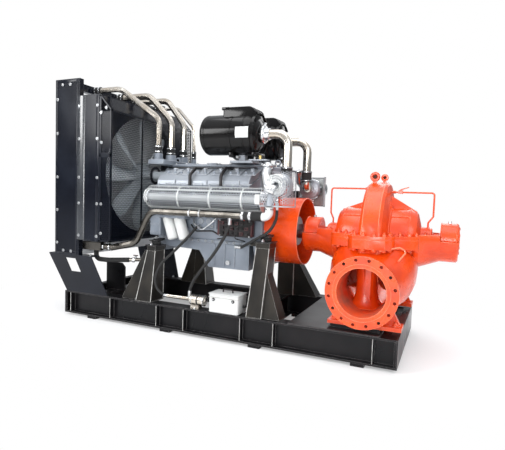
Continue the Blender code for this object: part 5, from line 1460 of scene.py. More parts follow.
@dataclass
class AirFilters:
    """Air filters with hoods, band clamps and one blank label, and the clamps of their pipes."""

    offset: float = 0.28
    height: float = 1.745
    left: float = -1.490
    radius: float = 0.175
    hood: tuple[float, float, float] = (-1.290, -0.985, 1.970)
    hood_half_width: float = 0.105

    def build(self) -> set[str]:
        """Make both filters.

        Returns:
            Names of the construction nodes that they stand for.
        """
        for name, side in SIDES:
            form = Form(f"air_filter_body_{name}")
            start = (self.left, side * self.offset, self.height)
            can = [(0.0, 0.0), (0.0, 0.150), (0.003, 0.160), (0.012, 0.170), (0.022, 0.1745), (0.038, 0.175),
                   (0.042, 0.171), (0.048, 0.171), (0.052, 0.175), (0.404, 0.175), (0.408, 0.171),
                   (0.416, 0.171),
                   (0.420, 0.175), (0.440, 0.1735), (0.462, 0.166), (0.484, 0.152), (0.502, 0.132),
                   (0.515, 0.108), (0.523, 0.084), (0.527, 0.066), (0.540, 0.062), (0.540, 0.0)]
            form.lathe(can, start, (1, 0, 0), Palette.FILTER, 56)
            self.add_hood(form, side)
            form.done("filter_black", replaces=(f"air_filter_{name}",), sharp=28)
            self.clamps(name, side)
        self.label()
        return {"air_filter_front", "air_filter_rear"}

    def add_hood(self, form: Form, side: int) -> None:
        """Inlet hood with an overhanging lip and a dark mouth.

        Args:
            form: form that takes it.
            side: -1 for the front filter, 1 for the rear one.
        """
        left, right, top = self.hood
        half, middle_y = self.hood_half_width, side * self.offset
        bend = 0.07
        turns = [math.radians(angle) for angle in range(0, 91, 10)]
        corner = [(right - bend + bend * math.cos(t), middle_y - half,
                   top - bend + bend * math.sin(t)) for t in turns]
        outline = [(left, middle_y - half, self.height), (right, middle_y - half, self.height)] + corner + [
            (left, middle_y - half, top)]
        form.prism(outline, (0, 2 * half, 0), Palette.FILTER, 0.010)
        form.box((left - 0.012, middle_y - half - 0.003, top - 0.024),
                 (left + 0.06, middle_y + half + 0.003, top), Palette.FILTER, 0.004)
        form.box((left - 0.002, middle_y - half + 0.015, self.height + 0.16),
                 (left + 0.01, middle_y + half - 0.015, top - 0.030), Palette.RUBBER, 0.002)

    def clamps(self, name: str, side: int) -> None:
        """Band clamps of the can, the bright clamp of its outlet and the clamps down the pipe.

        Args:
            name: name of its side.
            side: -1 for the front filter, 1 for the rear one.
        """
        form = Form(f"air_filter_clamps_{name}")
        middle_y = side * self.offset
        for place_x in (-1.205, -0.990):
            form.sleeve(0.1752, 0.1785, 0.026, (place_x - 0.013, middle_y, self.height), (1, 0, 0),
                        Palette.FILTER, 48)
            form.box((place_x - 0.016, middle_y - 0.11, 1.545), (place_x + 0.016, middle_y + 0.11, 1.585),
                     Palette.FILTER, 0.003)
        ring = [(0, 0.062), (0.002, 0.073), (0.010, 0.079), (0.020, 0.079), (0.028, 0.073), (0.030, 0.050)]
        form.lathe(ring, (-0.958, middle_y, self.height), (1, 0, 0), Palette.BRIGHT, 36)
        form.lathe([(0, 0.0405), (0, 0.054), (0.030, 0.050), (0.034, 0.0405)],
                   (-0.928, middle_y, self.height), (1, 0, 0), Palette.BRIGHT, 32)
        form.box((-0.956, middle_y - 0.012, self.height + 0.07),
                 (-0.930, middle_y + 0.012, self.height + 0.098), Palette.ZINC, 0.002)
        form.torus((-0.892, middle_y, self.height), (1, 0, 0), 0.043, 0.005, Palette.BRIGHT, 28)
        form.lathe([(0, 0.0405), (0, 0.048), (0.105, 0.048), (0.105, 0.0405)], (-0.728, middle_y, 1.365),
                   (0, 0, 1), Palette.RUBBER, 28)
        for height in (1.375, 1.457):
            form.sleeve(0.0482, 0.0500, 0.010, (-0.728, middle_y, height), (0, 0, 1), Palette.BRIGHT, 28)
        form.done("filter_black")

    def label(self) -> None:
        """Blank label on the front filter."""
        form = Form("air_filter_label")
        turns = [math.radians(angle) for angle in range(-15, 17, 3)]
        arc = [(-1.137, -self.offset - reach * math.cos(t), self.height + reach * math.sin(t))
               for reach, order in ((0.1762, turns), (0.1752, turns[::-1])) for t in order]
        form.prism(arc, (0.120, 0, 0), Palette.WHITE)
        form.done("white_paint")


@dataclass
class Turbochargers:
    """Turbochargers with bright scrolls and exhaust elbows: punched cover in front, plain one behind."""

    middle_x: float = -0.728
    height: float = 1.306
    low: float = 1.137
    high: float = 1.425
    left: float = -0.8517
    right: float = -0.590
    outer: float = 0.560
    corner: float = 0.090
    exhaust_x: float = -0.845

    def build(self) -> set[str]:
        """Make both turbochargers.

        Returns:
            Names of the construction nodes that they stand for.
        """
        for name, side in SIDES:
            self.body(name, side)
        self.punched_cover()
        self.plain_cover()
        return {"turbocharger_front", "turbocharger_rear"}

    def body(self, name: str, side: int) -> None:
        """Scroll, elbow, compressor and connections of one turbocharger.

        Args:
            name: name of its side.
            side: -1 for the front one, 1 for the rear one.
        """
        form = Form(f"turbocharger_body_{name}")
        x, z = self.middle_x, self.height
        bright, cast = Palette.BRIGHT, Palette.COVER
        form.torus((x, side * 0.500, z), (0, 1, 0), 0.058, 0.042, bright, 40, 14)
        for ring in range(4):
            form.torus((x, side * (0.541 - 0.003 * abs(ring - 1.5)), z), (0, 1, 0), 0.034 + 0.0165 * ring,
                       0.0040, Palette.PALE_CAST, 36, 6)
        route = rounded([(self.exhaust_x, side * 0.400, 1.477), (self.exhaust_x - 0.004, side * 0.448, 1.385),
                         (x - 0.066, side * 0.530, z - 0.022), (x + 0.004, side * 0.536, z - 0.042)], 0.055,
                         10)
        form.tube(route, 0.044, bright, 28)
        form.lathe([(0, 0.047), (0, 0.069), (0.012, 0.069), (0.012, 0.040), (0, 0.040)],
                   (self.exhaust_x, side * 0.400, 1.465), (0, 0, 1), Palette.ZINC, 32)
        profile = [(0.480, 0.070), (0.462, 0.060), (0.448, 0.060), (0.442, 0.090), (0.430, 0.098),
                   (0.385, 0.098), (0.374, 0.090), (0.366, 0.052), (0.353, 0.048)]
        form.lathe([(reach, radius) for reach, radius in profile[::-1]], (x, 0, z), (0, side, 0), cast, 36)
        form.torus((x, side * 0.408, z), (0, 1, 0), 0.080, 0.024, cast, 36, 10)
        form.rod((-0.8520, side * 0.50, 1.215), (x, side * 0.50, 1.215), 0.045, bright, 24, 0.003)
        form.rod((-0.765, side * 0.548, 1.1352), (-0.765, side * 0.520, z - 0.06), 0.030, cast, 22)
        form.rod((-0.719, side * 0.50, 1.145), (-0.719, side * 0.50, z - 0.06), 0.012, bright, 14)
        form.done("shield_steel", replaces=(f"turbocharger_{name}",))
        spots = [((x + 0.090 * math.cos(FULL_TURN * n / 8), side * 0.386,
                   z + 0.090 * math.sin(FULL_TURN * n / 8)),
                  (0, -side, 0)) for n in range(8)]
        spots += [((self.exhaust_x + 0.058 * math.cos(FULL_TURN * (n + 0.5) / 4),
                    side * 0.4 + 0.058 * math.sin(FULL_TURN * (n + 0.5) / 4), 1.477),
                    (0, 0, 1)) for n in range(4)]
        Fasteners(0.013, 0.008, 0.009).place(f"turbocharger_bolts_{name}", spots, Palette.ZINC, "shaft_steel")

    def punched_cover(self) -> None:
        """Punched sheet round the front turbocharger, open where the scroll stands out."""
        punch = Perforations()
        middle_z, height = (self.low + self.high) / 2, self.high - self.low
        flat = self.right - self.corner - self.left
        finish, slot, pitch = Palette.SHIELD, "shield_steel", 0.0205

        def outside_opening(place: Vector) -> bool:
            """Whether a place on the sheet is outside the opening for the scroll and its elbow."""
            beside_elbow = place.x < -0.76 and place.z > 1.318
            return math.hypot(place.x + 0.752, place.z - 1.318) > 0.088 and not beside_elbow

        punch.place("turbo_cover_front", (flat, height - 0.01), pitch,
                    ((self.left + self.right - self.corner) / 2 - 0.004, -self.outer + 0.0015, middle_z),
                    (1, 0, 0), (0, -1, 0), finish, slot, 0.72, thickness=0.0012, keep=outside_opening)
        punch.place("turbo_cover_corner", (height - 0.01, QUARTER_TURN * (self.corner - 0.002)), pitch,
                    (self.right - self.corner, -self.outer + self.corner, middle_z), (0, 0, 1), (1, -1, 0),
                    finish, slot, 0.72, self.corner - 0.002, 0.0012, outside_opening)
        punch.place("turbo_cover_end", (0.036, height - 0.01), pitch,
                    (self.right - 0.0015, -self.outer + self.corner + 0.018, middle_z), (0, 1, 0), (1, 0, 0),
                    finish, slot, 0.72, thickness=0.0012)
        self.edges("turbo_cover_edges", -1, 0.003)

    def plan(self, side: int, wall: float) -> list[Vector]:
        """Plan outline of a cover's sheet at height zero.

        Args:
            side: -1 for the front cover, 1 for the rear one.
            wall: thickness of the sheet.

        Returns:
            Points round the sheet's section.
        """
        turns = [math.radians(angle) for angle in range(0, 91, 10)]
        centre = (self.right - self.corner, self.outer - self.corner)
        outer, inner = [[Vector((centre[0] + reach * math.cos(t), side * (centre[1] + reach * math.sin(t)),
                                 0))
                         for t in turns] for reach in (self.corner, self.corner - wall)]
        return ([Vector((self.right, side * 0.43, 0))] + outer + [Vector((self.left, side * self.outer, 0)),
                Vector((self.left, side * (self.outer - wall), 0))] + inner[::-1]
                + [Vector((self.right - wall, side * 0.43, 0))])

    def edges(self, name: str, side: int, wall: float) -> None:
        """Rolled edges at the bottom of a cover and, on the rear cover only, at its top, with a strip down
        its end.

        Args:
            name: name of the piece.
            side: -1 for the front cover, 1 for the rear one.
            wall: thickness of the sheet.
        """
        form = Form(name)
        for low, high in ((self.low, self.low + 0.010), (self.high - 0.008, self.high)):
            if side < 0 and low > self.height:
                continue
            form.prism([point + Vector((0, 0, low)) for point in self.plan(side, wall)], (0, 0, high - low),
                       Palette.SHIELD)
        form.box((self.right - wall, side * 0.43 - 0.005, self.low),
                 (self.right, side * 0.43 + 0.005, self.high), Palette.SHIELD)
        form.done("shield_steel")

    def plain_cover(self) -> None:
        """Pale cast cover of the rear turbocharger with rolled edges."""
        form = Form("turbo_cover_rear")
        plan = self.plan(1, 0.004)
        form.prism([point + Vector((0, 0, self.low + 0.004)) for point in plan],
                   (0, 0, self.high - self.low - 0.008), Palette.PALE_CAST)
        form.lathe([(0, 0.052), (0.012, 0.052), (0.016, 0.040), (0.016, 0.0)],
                   (self.right - 0.012, 0.495, self.height), (1, 0, 0), Palette.BRIGHT, 28)
        form.done("shield_steel")
        self.edges("turbo_cover_rear_edges", 1, 0.006)


@dataclass
class EngineTop:
    """What stands on the cylinder banks and the manifold: cover pads, knobs, pipes, clamps and bolts."""

    knobs: tuple[float, ...] = (-1.796, -1.658, -1.482, -1.322, -1.162, -1.017)
    bridges: tuple[float, ...] = (-1.565, -1.258)
    pipes: tuple[tuple[float, float, float], ...] = (
        (-0.314, 0.026, -0.476), (-0.112, 0.033, -0.150), (0.113, 0.031, 0.090), (0.312, 0.018, 0.476))

    def build(self) -> set[str]:
        """Make the details.

        Returns:
            Names of the construction nodes that they stand for.
        """
        for name, side in SIDES:
            self.bank(name, side)
        self.manifold()
        self.pipe_ends()
        return set()

    def bank(self, name: str, side: int) -> None:
        """Pads, knobs, bridging pipes and bolts of one bank's covers.

        Args:
            name: name of the bank.
            side: -1 for the front one, 1 for the rear one.
        """
        form = Form(f"valve_cover_details_{name}")
        lean = math.atan2(1.440 - 1.385, 0.40 - 0.28)
        out = Vector((0, side * math.sin(lean), math.cos(lean)))
        down = Vector((0, side * math.cos(lean), -math.sin(lean)))
        middle = Vector((0, side * 0.345, 1.4125))
        for index, place_x in enumerate(self.knobs):
            centre = Vector((place_x, middle.y, middle.z))
            corners = [centre + Vector((dx, 0, 0)) + down * dd - out * 0.002
                       for dx, dd in ((-0.058, -0.070), (0.058, -0.070), (0.058, 0.060), (-0.058, 0.060))]
            form.prism(corners, out * 0.010, Palette.COVER, 0.004)
            for offset in (-0.036, 0.036):
                spot = centre + Vector((offset, 0, 0)) + down * 0.040 + out * 0.008
                form.rod(spot, spot + out * 0.020, 0.012, Palette.ENGINE, 16, 0.002, 0.009)
            knob = centre + down * -0.022 + out * 0.006
            form.rod(knob, knob + out * 0.026, 0.019, Palette.COVER, 18, 0.003, 0.015)
            form.rod((place_x - 0.045, side * 0.4405, 1.312), (place_x + 0.045, side * 0.4405, 1.312), 0.004,
                     Palette.COVER, 8)
            if index < len(self.knobs) - 1:
                gap = (place_x + self.knobs[index + 1]) / 2
                form.box((gap - 0.004, min(side * 0.435, side * 0.447), 1.298),
                         (gap + 0.004, max(side * 0.435, side * 0.447), 1.345), Palette.COVER, 0.0015)
        for place_x in self.bridges:
            route = rounded([(place_x, side * 0.20, 1.46), (place_x, side * 0.36, 1.452),
                             (place_x, side * 0.450, 1.385), (place_x, side * 0.452, 1.296)], 0.035, 6)
            form.tube(route, 0.014, Palette.CONTROL, 14)
        for place_x in (-1.88, -1.565, -1.258, -0.93):
            form.rod((place_x, side * 0.235, 1.452), (place_x + 0.05, side * 0.235, 1.452), 0.007,
                     Palette.ZINC, 10)
        form.tube(rounded([(-1.90, side * 0.232, 1.463), (-1.02, side * 0.232, 1.463),
                           (-0.99, side * 0.30, 1.44)],
                          0.02, 4), 0.006, Palette.CONTROL, 10)
        form.done("cover_grey")
        spots = [((-1.90 + 0.075 * n, side * 0.4398, 1.302), (0, side, 0.25)) for n in range(13)]
        spots += [((-1.89 + 0.105 * n, side * 0.452, 1.280), (0, side, 0)) for n in range(9)]
        Fasteners(0.014, 0.009, 0.010).place(f"valve_cover_bolts_{name}", spots, Palette.COVER, "shaft_steel")

    def manifold(self) -> None:
        """Flange lines, bolts and lifting lugs on the intake manifold."""
        form = Form("manifold_details")
        for side in BOTH:
            near, far = sorted((side * 0.186, side * 0.202))
            form.box((-1.93, near, 1.478), (-0.94, far, 1.492), Palette.ENGINE, 0.003)
        for place_x in (-1.78, -1.54, -1.30):
            form.box((place_x - 0.05, -0.12, 1.498), (place_x + 0.05, 0.12, 1.516), Palette.ENGINE, 0.005)
        for place_x, place_y in ((-1.90, -0.14), (-0.97, 0.14)):
            form.torus((place_x, place_y, 1.535), (0, 1, 0), 0.024, 0.008, Palette.ENGINE, 24)
        form.rod((-1.165, -0.325, 1.5405), (-1.165, -0.325, 1.5605), 0.018, Palette.ZINC, 6)
        form.box((-1.02, -0.415, 1.512), (-0.86, -0.34, 1.524), Palette.COVER, 0.003)
        form.rod((-0.93, -0.38, 1.524), (-0.93, -0.38, 1.556), 0.013, Palette.BRASS, 12, 0.002)
        form.rod((-0.98, -0.38, 1.524), (-0.98, -0.38, 1.545), 0.009, Palette.ZINC, 6)
        form.done("engine_grey")
        spots = [((-1.90 + 0.118 * n, side * 0.165, 1.500), (0, 0, 1)) for n in range(9) for side in BOTH]
        spots += [((-2.045, side * 0.20 * n, 1.530), (0, 0, 1)) for n in (1, 1.8) for side in BOTH]
        Fasteners(0.016, 0.010, 0.011).place("manifold_bolts", spots, Palette.ZINC, "shaft_steel")

    def pipe_ends(self) -> None:
        """Rubber sleeves and bright clamps at both ends of the four pipes, and flanges on their necks."""
        form = Form("coolant_pipe_ends")
        for place_y, radius, header_y in self.pipes:
            sleeve = [(0, radius + 0.0004), (0, radius + 0.007), (0.078, radius + 0.007),
                      (0.078, radius + 0.0004)]
            form.lathe(sleeve, (-2.00, place_y, 1.5905), (0, 0, 1), Palette.RUBBER, 26)
            form.lathe(sleeve, (-2.6315, header_y, 2.170), (1, 0, 0), Palette.RUBBER, 26)
            band = [(0, radius + 0.0072), (0, radius + 0.0092), (0.011, radius + 0.0092),
                    (0.011, radius + 0.0072), (0, radius + 0.0072)]
            for reach in (0.010, 0.057):
                form.lathe(band, (-2.00, place_y, 1.5905 + reach), (0, 0, 1), Palette.BRIGHT, 26)
                form.lathe(band, (-2.6315 + reach, header_y, 2.170), (1, 0, 0), Palette.BRIGHT, 26)
                form.box((-2.012, place_y - radius - 0.022, 1.591 + reach), (-1.988, place_y - radius - 0.008,
                         1.601 + reach), Palette.ZINC, 0.001)
            form.lathe([(0, radius * 1.5), (0, radius * 1.5 + 0.010), (0.010, radius * 1.5 + 0.010),
                        (0.010, radius * 1.5)], (-2.00, place_y, 1.531), (0, 0, 1), Palette.ENGINE, 26)
        form.done("pipe_steel")


@dataclass
class EngineSide:
    """Pieces on the engine's flanks: oil filters, controller, low pipe joint, ribs, plugs and leads."""

    block_y: float = 0.3403
    filter_tilt: float = math.radians(19)

    def build(self) -> set[str]:
        """Make the details.

        Returns:
            Names of the construction nodes that they stand for.
        """
        self.oil_filters()
        self.controller()
        self.low_pipe()
        self.block()
        self.leads()
        return {"oil_filters"}

    def oil_filters(self) -> None:
        """Two plain spin-on filters under one grey head."""
        form = Form("oil_filter_cans")
        form.box((-1.87, -0.47, 0.995), (-1.60, -self.block_y, 1.035), Palette.ENGINE, 0.008)
        form.box((-1.84, -0.40, 1.030), (-1.63, -self.block_y, 1.062), Palette.ENGINE, 0.008)
        axis = Vector((math.sin(self.filter_tilt), 0, -math.cos(self.filter_tilt)))
        for place_x in (-1.775, -1.655):
            top = Vector((place_x, -0.42, 0.905)) - axis * 0.1075
            can = [(-0.004, 0.046), (0.006, 0.049), (0.010, 0.050), (0.190, 0.050), (0.203, 0.047),
                   (0.212, 0.036), (0.215, 0.020), (0.215, 0.0)]
            form.lathe(can, top, axis, Palette.WHITE, 36)
            form.lathe([(-0.014, 0.044), (0.004, 0.0505)], top, axis, Palette.CONTROL, 36)
        form.done("white_paint", replaces=("oil_filters",))

    def controller(self) -> None:
        """Cooling ribs, plugs and screws on the controller case."""
        form = Form("controller_details")
        for row, height in enumerate((0.895, 0.938, 0.981)):
            for number in range(6):
                place_x = -1.262 + 0.046 * number
                finish = (Palette.RUBBER, Palette.CONTROL, Palette.PLUG)[(number * 2 + row) % 3]
                form.box((place_x, -0.436, height - 0.013), (place_x + 0.032, -0.418, height + 0.013), finish,
                         0.002)
                form.box((place_x + 0.008, -0.442, height - 0.006), (place_x + 0.024, -0.434, height + 0.006),
                         Palette.RUBBER, 0.001)
        for place_x in (-1.290, -0.985):
            form.box((place_x - 0.010, -0.41, 0.87), (place_x + 0.010, -0.35, 1.005), Palette.PLUG, 0.002)
        form.done("skid_black")
        spots = [((x, -0.4205, z), (0, -1, 0)) for x in (-1.272, -0.993) for z in (0.873, 1.002)]
        Fasteners(0.010, 0.005, 0.007).place("controller_screws", spots, Palette.ZINC, "shaft_steel")

    def low_pipe(self) -> None:
        """Clamps, ribbed hose and white elbow at the low pipe's right end, and clamps at its left end."""
        form = Form("low_pipe_joint")
        y, z = -0.55, 1.055
        for place_x in (-1.000, -0.935):
            form.lathe([(0, 0.0302), (0, 0.0385), (0.020, 0.0385), (0.020, 0.0302)], (place_x, y, z),
                       (1, 0, 0), Palette.BRIGHT, 28)
            form.box((place_x + 0.002, y - 0.052, z - 0.007), (place_x + 0.018, y - 0.036, z + 0.007),
                     Palette.ZINC, 0.002)
        form.lathe([(0, 0.0302), (0, 0.0345), (0.180, 0.0345), (0.180, 0.0302)], (-1.005, y, z), (1, 0, 0),
                   Palette.RUBBER, 26)
        for number in range(8):
            form.torus((-0.912 + 0.012 * number, y, z), (1, 0, 0), 0.0345, 0.004, Palette.RUBBER, 26, 6)
        elbow = rounded([(-0.824, y, z), (-0.765, y, z), (-0.765, y, 1.133)], 0.045, 8)
        form.tube(elbow, 0.0335, Palette.WHITE, 26)
        form.lathe([(0, 0.034), (0, 0.040), (0.014, 0.040), (0.014, 0.034)], (-0.765, y, 1.112), (0, 0, 1),
                   Palette.BRIGHT, 26)
        for place_x in (-2.400, -2.330):
            form.lathe([(0, 0.0302), (0, 0.0370), (0.014, 0.0370), (0.014, 0.0302)], (place_x, -0.58, 0.702),
                       (1, 0, 0), Palette.BRIGHT, 26)
        form.lathe([(0, 0.0182), (0, 0.024), (0.020, 0.024), (0.020, 0.0182)], (-2.215, -0.402, 0.571),
                   (1, 0.62, 0), Palette.BRIGHT, 20)
        drain = rounded([(-2.530, -0.545, 0.690), (-2.530, -0.545, 0.572), (-2.400, -0.520, 0.568),
                         (-2.240, -0.418, 0.571)], 0.045, 6)
        form.tube(drain, 0.0225, Palette.RUBBER, 22)
        form.rod((-2.190, -0.387, 0.575), (-2.190, -0.387, 0.612), 0.010, Palette.ZINC, 12)
        form.box((-2.215, -0.394, 0.610), (-2.165, -0.380, 0.618), Palette.PLUG, 0.002)
        for place_x in (-1.40, -1.50):
            form.lathe([(0, 0.0302), (0, 0.0335), (0.012, 0.0335), (0.012, 0.0302)], (place_x, y, z),
                       (1, 0, 0), Palette.ZINC, 24)
            form.box((place_x + 0.001, y + 0.02, z - 0.008), (place_x + 0.011, -self.block_y, z + 0.004),
                     Palette.ENGINE)
        form.done("pipe_steel")

    def block(self) -> None:
        """Ribs, cover plates, plugs and flange lines on the crankcase, the pan and the flywheel housing."""
        form = Form("block_details")
        for side in BOTH:
            y = side * self.block_y

            def plate(low_x: float, high_x: float, low_z: float, high_z: float, depth: float,
                      bevel: float) -> None:
                """Raised plate on this flank."""
                near, far = sorted((y - side * 0.002, y + side * depth))
                form.box((low_x, near, low_z), (high_x, far, high_z), Palette.ENGINE, bevel)

            for place_x in (-1.90, -1.565, -1.35, -1.10, -1.005):
                plate(place_x - 0.009, place_x + 0.009, 0.905, 1.050, 0.012, 0.003)
            plate(-1.54, -1.375, 0.925, 1.035, 0.008, 0.004)
            plate(-1.555, -1.30, 0.905, 0.915, 0.014, 0.003)
            for place_x in (-1.50, -1.42):
                form.rod((place_x, y, 0.98), (place_x, y + side * 0.016, 0.98), 0.026, Palette.COVER, 24,
                         0.004)
            near, far = sorted((side * 0.290, side * 0.318))
            form.box((-1.93, near, 0.788), (-0.995, far, 0.812), Palette.ENGINE, 0.004)
            near, far = sorted((side * 0.440, side * 0.458))
            form.box((-1.93, near, 1.176), (-0.992, far, 1.188), Palette.ENGINE, 0.003)
        form.lathe([(0, 0.11), (0.016, 0.11), (0.022, 0.10), (0.022, 0.0)], (-0.912, 0, SHAFT_HEIGHT),
                   (1, 0, 0), Palette.ENGINE, 36)
        for place_x in (-1.38, -1.28, -1.18):
            form.box((place_x - 0.006, -0.306, 0.585), (place_x + 0.006, -0.298, 0.780), Palette.ENGINE,
                     0.002)
        form.rod((-1.24, -0.30, 0.62), (-1.24, -0.318, 0.62), 0.022, Palette.ZINC, 6)
        for height in (0.86, 0.93, 1.00):
            form.box((-1.995, -0.436, height - 0.006), (-1.895, -0.428, height + 0.006), Palette.ENGINE,
                     0.002)
        form.rod((-1.945, -0.43, 1.030), (-1.945, -0.43, 1.062), 0.022, Palette.COVER, 20, 0.003)
        form.done("engine_grey")
        spots = [((-1.90 + 0.072 * n, side * 0.3185, 0.800),
                  (0, side, 0)) for n in range(13) for side in BOTH]
        spots += [((x, side * (self.block_y + 0.0085), z), (0, side, 0)) for x in (-1.53, -1.385)
                  for z in (0.935, 1.025) for side in BOTH]
        spots += [((-1.955, side * 0.24, 0.72 + 0.11 * n), (0, side, 0)) for n in range(2) for side in BOTH]
        spots += [((-0.9115, 0.29 * math.cos(a), SHAFT_HEIGHT + 0.27 * math.sin(a)), (1, 0, 0))
                  for a in turns(12)]
        spots += [((-2.0105, 0.22 * math.cos(a), 1.04 + 0.30 * math.sin(a)), (-1, 0, 0))
                  for a in turns(14)]
        Fasteners(0.017, 0.011, 0.012).place("block_bolts", spots, Palette.COVER, "shaft_steel")

    def leads(self) -> None:
        """Bundled leads along the flank, tied every so often."""
        form = Form("engine_leads")
        for number, drop in enumerate((0.0, 0.013, 0.026, 0.039)):
            route = rounded([(-0.99 - 0.05 * number, -0.432, 0.985 - drop), (-0.965, -0.425, 1.015 - drop),
                             (-0.955, -0.380, 1.08 - drop), (-1.10 - 0.12 * number, -0.372, 1.100 - drop / 2),
                             (-1.52 - 0.09 * number, -0.386, 1.112 - drop / 2)], 0.018, 4)
            form.tube(route, 0.0055, Palette.RUBBER, 8)
        for place_x in (-1.14, -1.24, -1.37, -1.48):
            form.box((place_x - 0.004, -0.394, 1.082), (place_x + 0.004, -0.364, 1.122), Palette.RUBBER)
        for start, end in (((-1.20, -0.436, 0.885), (-1.33, -0.352, 0.830)), ((-1.11, -0.436, 0.885),
                                                                           (-1.06, -0.352, 0.825))):
            form.tube(rounded([start, (start[0], start[1] - 0.02, start[2] - 0.03), end], 0.015, 4), 0.005,
                      Palette.RUBBER, 8)
        route = rounded([(-1.57, -0.352, 1.02), (-1.55, -0.40, 0.96), (-1.46, -0.40, 0.90),
                         (-1.37, -0.37, 0.98), (-1.33, -0.352, 1.03)], 0.03, 5)
        form.tube(route, 0.006, Palette.ZINC, 10)
        route = rounded([(-1.60, -0.352, 0.94), (-1.53, -0.385, 0.89), (-1.36, -0.385, 0.90),
                         (-1.30, -0.352, 0.86)], 0.03, 5)
        form.tube(route, 0.007, Palette.RUBBER, 10)
        form.done("rubber_black")


@dataclass
class PumpDetail:
    """Fasteners, ridges, rims and fittings of the red pump."""

    shaft: float = SHAFT_HEIGHT
    nozzle: float = 0.561
    face: float = 0.680
    bearing_end: float = 0.612
    split_spots: tuple[tuple[float, float], ...] = (
        (0.374, 0.112), (0.318, 0.228), (0.268, 0.274), (0.205, 0.292), (0.142, 0.316), (0.140, 0.386),
        (0.108, 0.442), (0.040, 0.464))
    eyes: tuple[tuple[float, float, float, float], ...] = ((-0.035, -0.075, 0.0285, 0.0125),
                                                           (0.022, 0.075, 0.0215, 0.0100))
    eye_height: float = 1.408

    def build(self) -> set[str]:
        """Make the details.

        Returns:
            Names of the construction nodes that they stand for.
        """
        self.fasteners()
        self.castings()
        self.nozzles()
        self.bearings()
        return set()

    def fasteners(self) -> None:
        """Painted studs, nuts and screws of the casing."""
        spots = [((sx * x, sy * y, self.shaft + 0.028), (0, 0, 1)) for x, y in self.split_spots
                 for sx in BOTH for sy in BOTH]
        Fasteners(0.026, 0.018, 0.019, 0.014).place("split_flange_nuts", spots, Palette.PUMP, "pump_red")
        spots = [((side * (self.bearing_end + 0.005), 0.094 * math.cos(a), self.shaft + 0.094 * math.sin(a)),
                  (side, 0, 0)) for side in BOTH for a in (FULL_TURN * (n + 0.5) / 6 for n in range(6))]
        spots += [((side * x, y, self.shaft + 0.002), (0, 0, 1)) for side in BOTH for x in (0.505, 0.590)
                  for y in (-0.150, 0.150)]
        Fasteners(0.018, 0.004, 0.011).place("bearing_screws", spots, Palette.PUMP, "pump_red")
        spots = [((sx * 0.225, sy * 0.475, 0.3026), (0, 0, 1)) for sx in BOTH for sy in BOTH]
        Fasteners(0.034, 0.022, 0.026, 0.012).place("foot_bolts", spots, Palette.PUMP, "pump_red")
        spots = [((side * 0.436, sy * 0.066, self.shaft + 0.030), (side, 0, 0)) for side in BOTH
                 for sy in BOTH]
        Fasteners(0.020, 0.014, 0.0, 0.020).place("gland_nuts", spots, Palette.PUMP, "pump_red")

    def castings(self) -> None:
        """Corner lines in a lighter red that is painted highlight, cast ribs, bosses, glands and plugs."""
        form = Form("casing_details")
        red, pale = Palette.PUMP, Palette.PUMP_EDGE_HIGHLIGHT
        for side in BOTH:
            # Corner line of the disc in the lighter red of painted highlight.
            form.torus((side * 0.0600, 0, self.shaft), (1, 0, 0), 0.4440, 0.0030, pale, 72, 6)
            form.torus((side * 0.1085, 0, self.shaft), (1, 0, 0), 0.2500, 0.0050, red, 48, 6)
            form.torus((side * 0.2550, 0, self.shaft), (1, 0, 0), 0.2335, 0.0040, red, 48, 6)
            for sy in BOTH:
                form.rod((side * 0.12, sy * 0.1625, 1.092), (side * 0.262, sy * 0.1625, 1.092), 0.0045, red,
                         8)
                form.rod((side * 0.262, sy * 0.1600, 1.092), (side * 0.262, sy * 0.2300, 0.960), 0.0040, red,
                         8)
                form.rod((side * 0.190, sy * 0.1600, 1.092), (side * 0.190, sy * 0.2330, 0.950), 0.0040, red,
                         8)
            for x, y in self.split_spots:
                for sy in BOTH:
                    form.rod((side * x, sy * y, self.shaft - 0.088), (side * x, sy * y, self.shaft - 0.071),
                             0.020, red, 16, 0.004)
            form.lathe([(0, 0.088), (0.014, 0.088), (0.020, 0.080), (0.020, 0.050), (0.036, 0.046),
                        (0.036, 0.0)],
                       (side * 0.3985, 0, self.shaft), (side, 0, 0), red, 32)
            for sy in BOTH:
                form.rod((side * 0.398, sy * 0.066, self.shaft + 0.030),
                         (side * 0.470, sy * 0.066, self.shaft + 0.030), 0.0075, red, 10)
        # Ridge line on the suction chest in the lighter red of painted highlight.
        ridge = rounded([(0.085, -0.470, 0.845), (0.215, -0.372, 0.872), (0.262, -0.352, 0.842),
                         (0.215, -0.432, 0.775)], 0.018, 5)
        form.tube(ridge, 0.0065, pale, 10)
        for x, y, major, minor in self.eyes:
            form.rod((x, y - 0.002, self.eye_height), (x, y + 0.002, self.eye_height), major - minor + 0.001,
                     Palette.EYE_SHADE, 24)
        form.done("pump_red")

    def nozzles(self) -> None:
        """Raised faces, rims in a lighter red that is painted highlight, dark bolt holes, the bore's
        primer-toned liner with its orange partly painted light, and the inner wall's rounded nose.
        """
        form = Form("nozzle_details")
        for side in BOTH:
            form.lathe([(0, 0.1750), (0.003, 0.1765), (0.003, 0.2040), (0, 0.2060), (-0.004, 0.2060),
                        (-0.004, 0.1750), (0, 0.1750)], (0, side * self.face, self.nozzle), (0, side, 0),
                       Palette.PUMP, 72)
            # Rims of the raised face and of the flange in the lighter red of painted highlight.
            for radius in (0.1768, 0.2045):
                form.torus((0, side * (self.face + 0.0025), self.nozzle), (0, 1, 0), radius, 0.0014,
                           Palette.PUMP_EDGE_HIGHLIGHT, 72, 6)
            form.torus((0, side * (self.face - 0.002), self.nozzle), (0, 1, 0), 0.2585, 0.0022,
                       Palette.PUMP_EDGE_HIGHLIGHT, 72, 6)
            form.torus((0, side * (self.face - 0.048), self.nozzle), (0, 1, 0), 0.212, 0.010, Palette.PUMP,
                       56, 8)
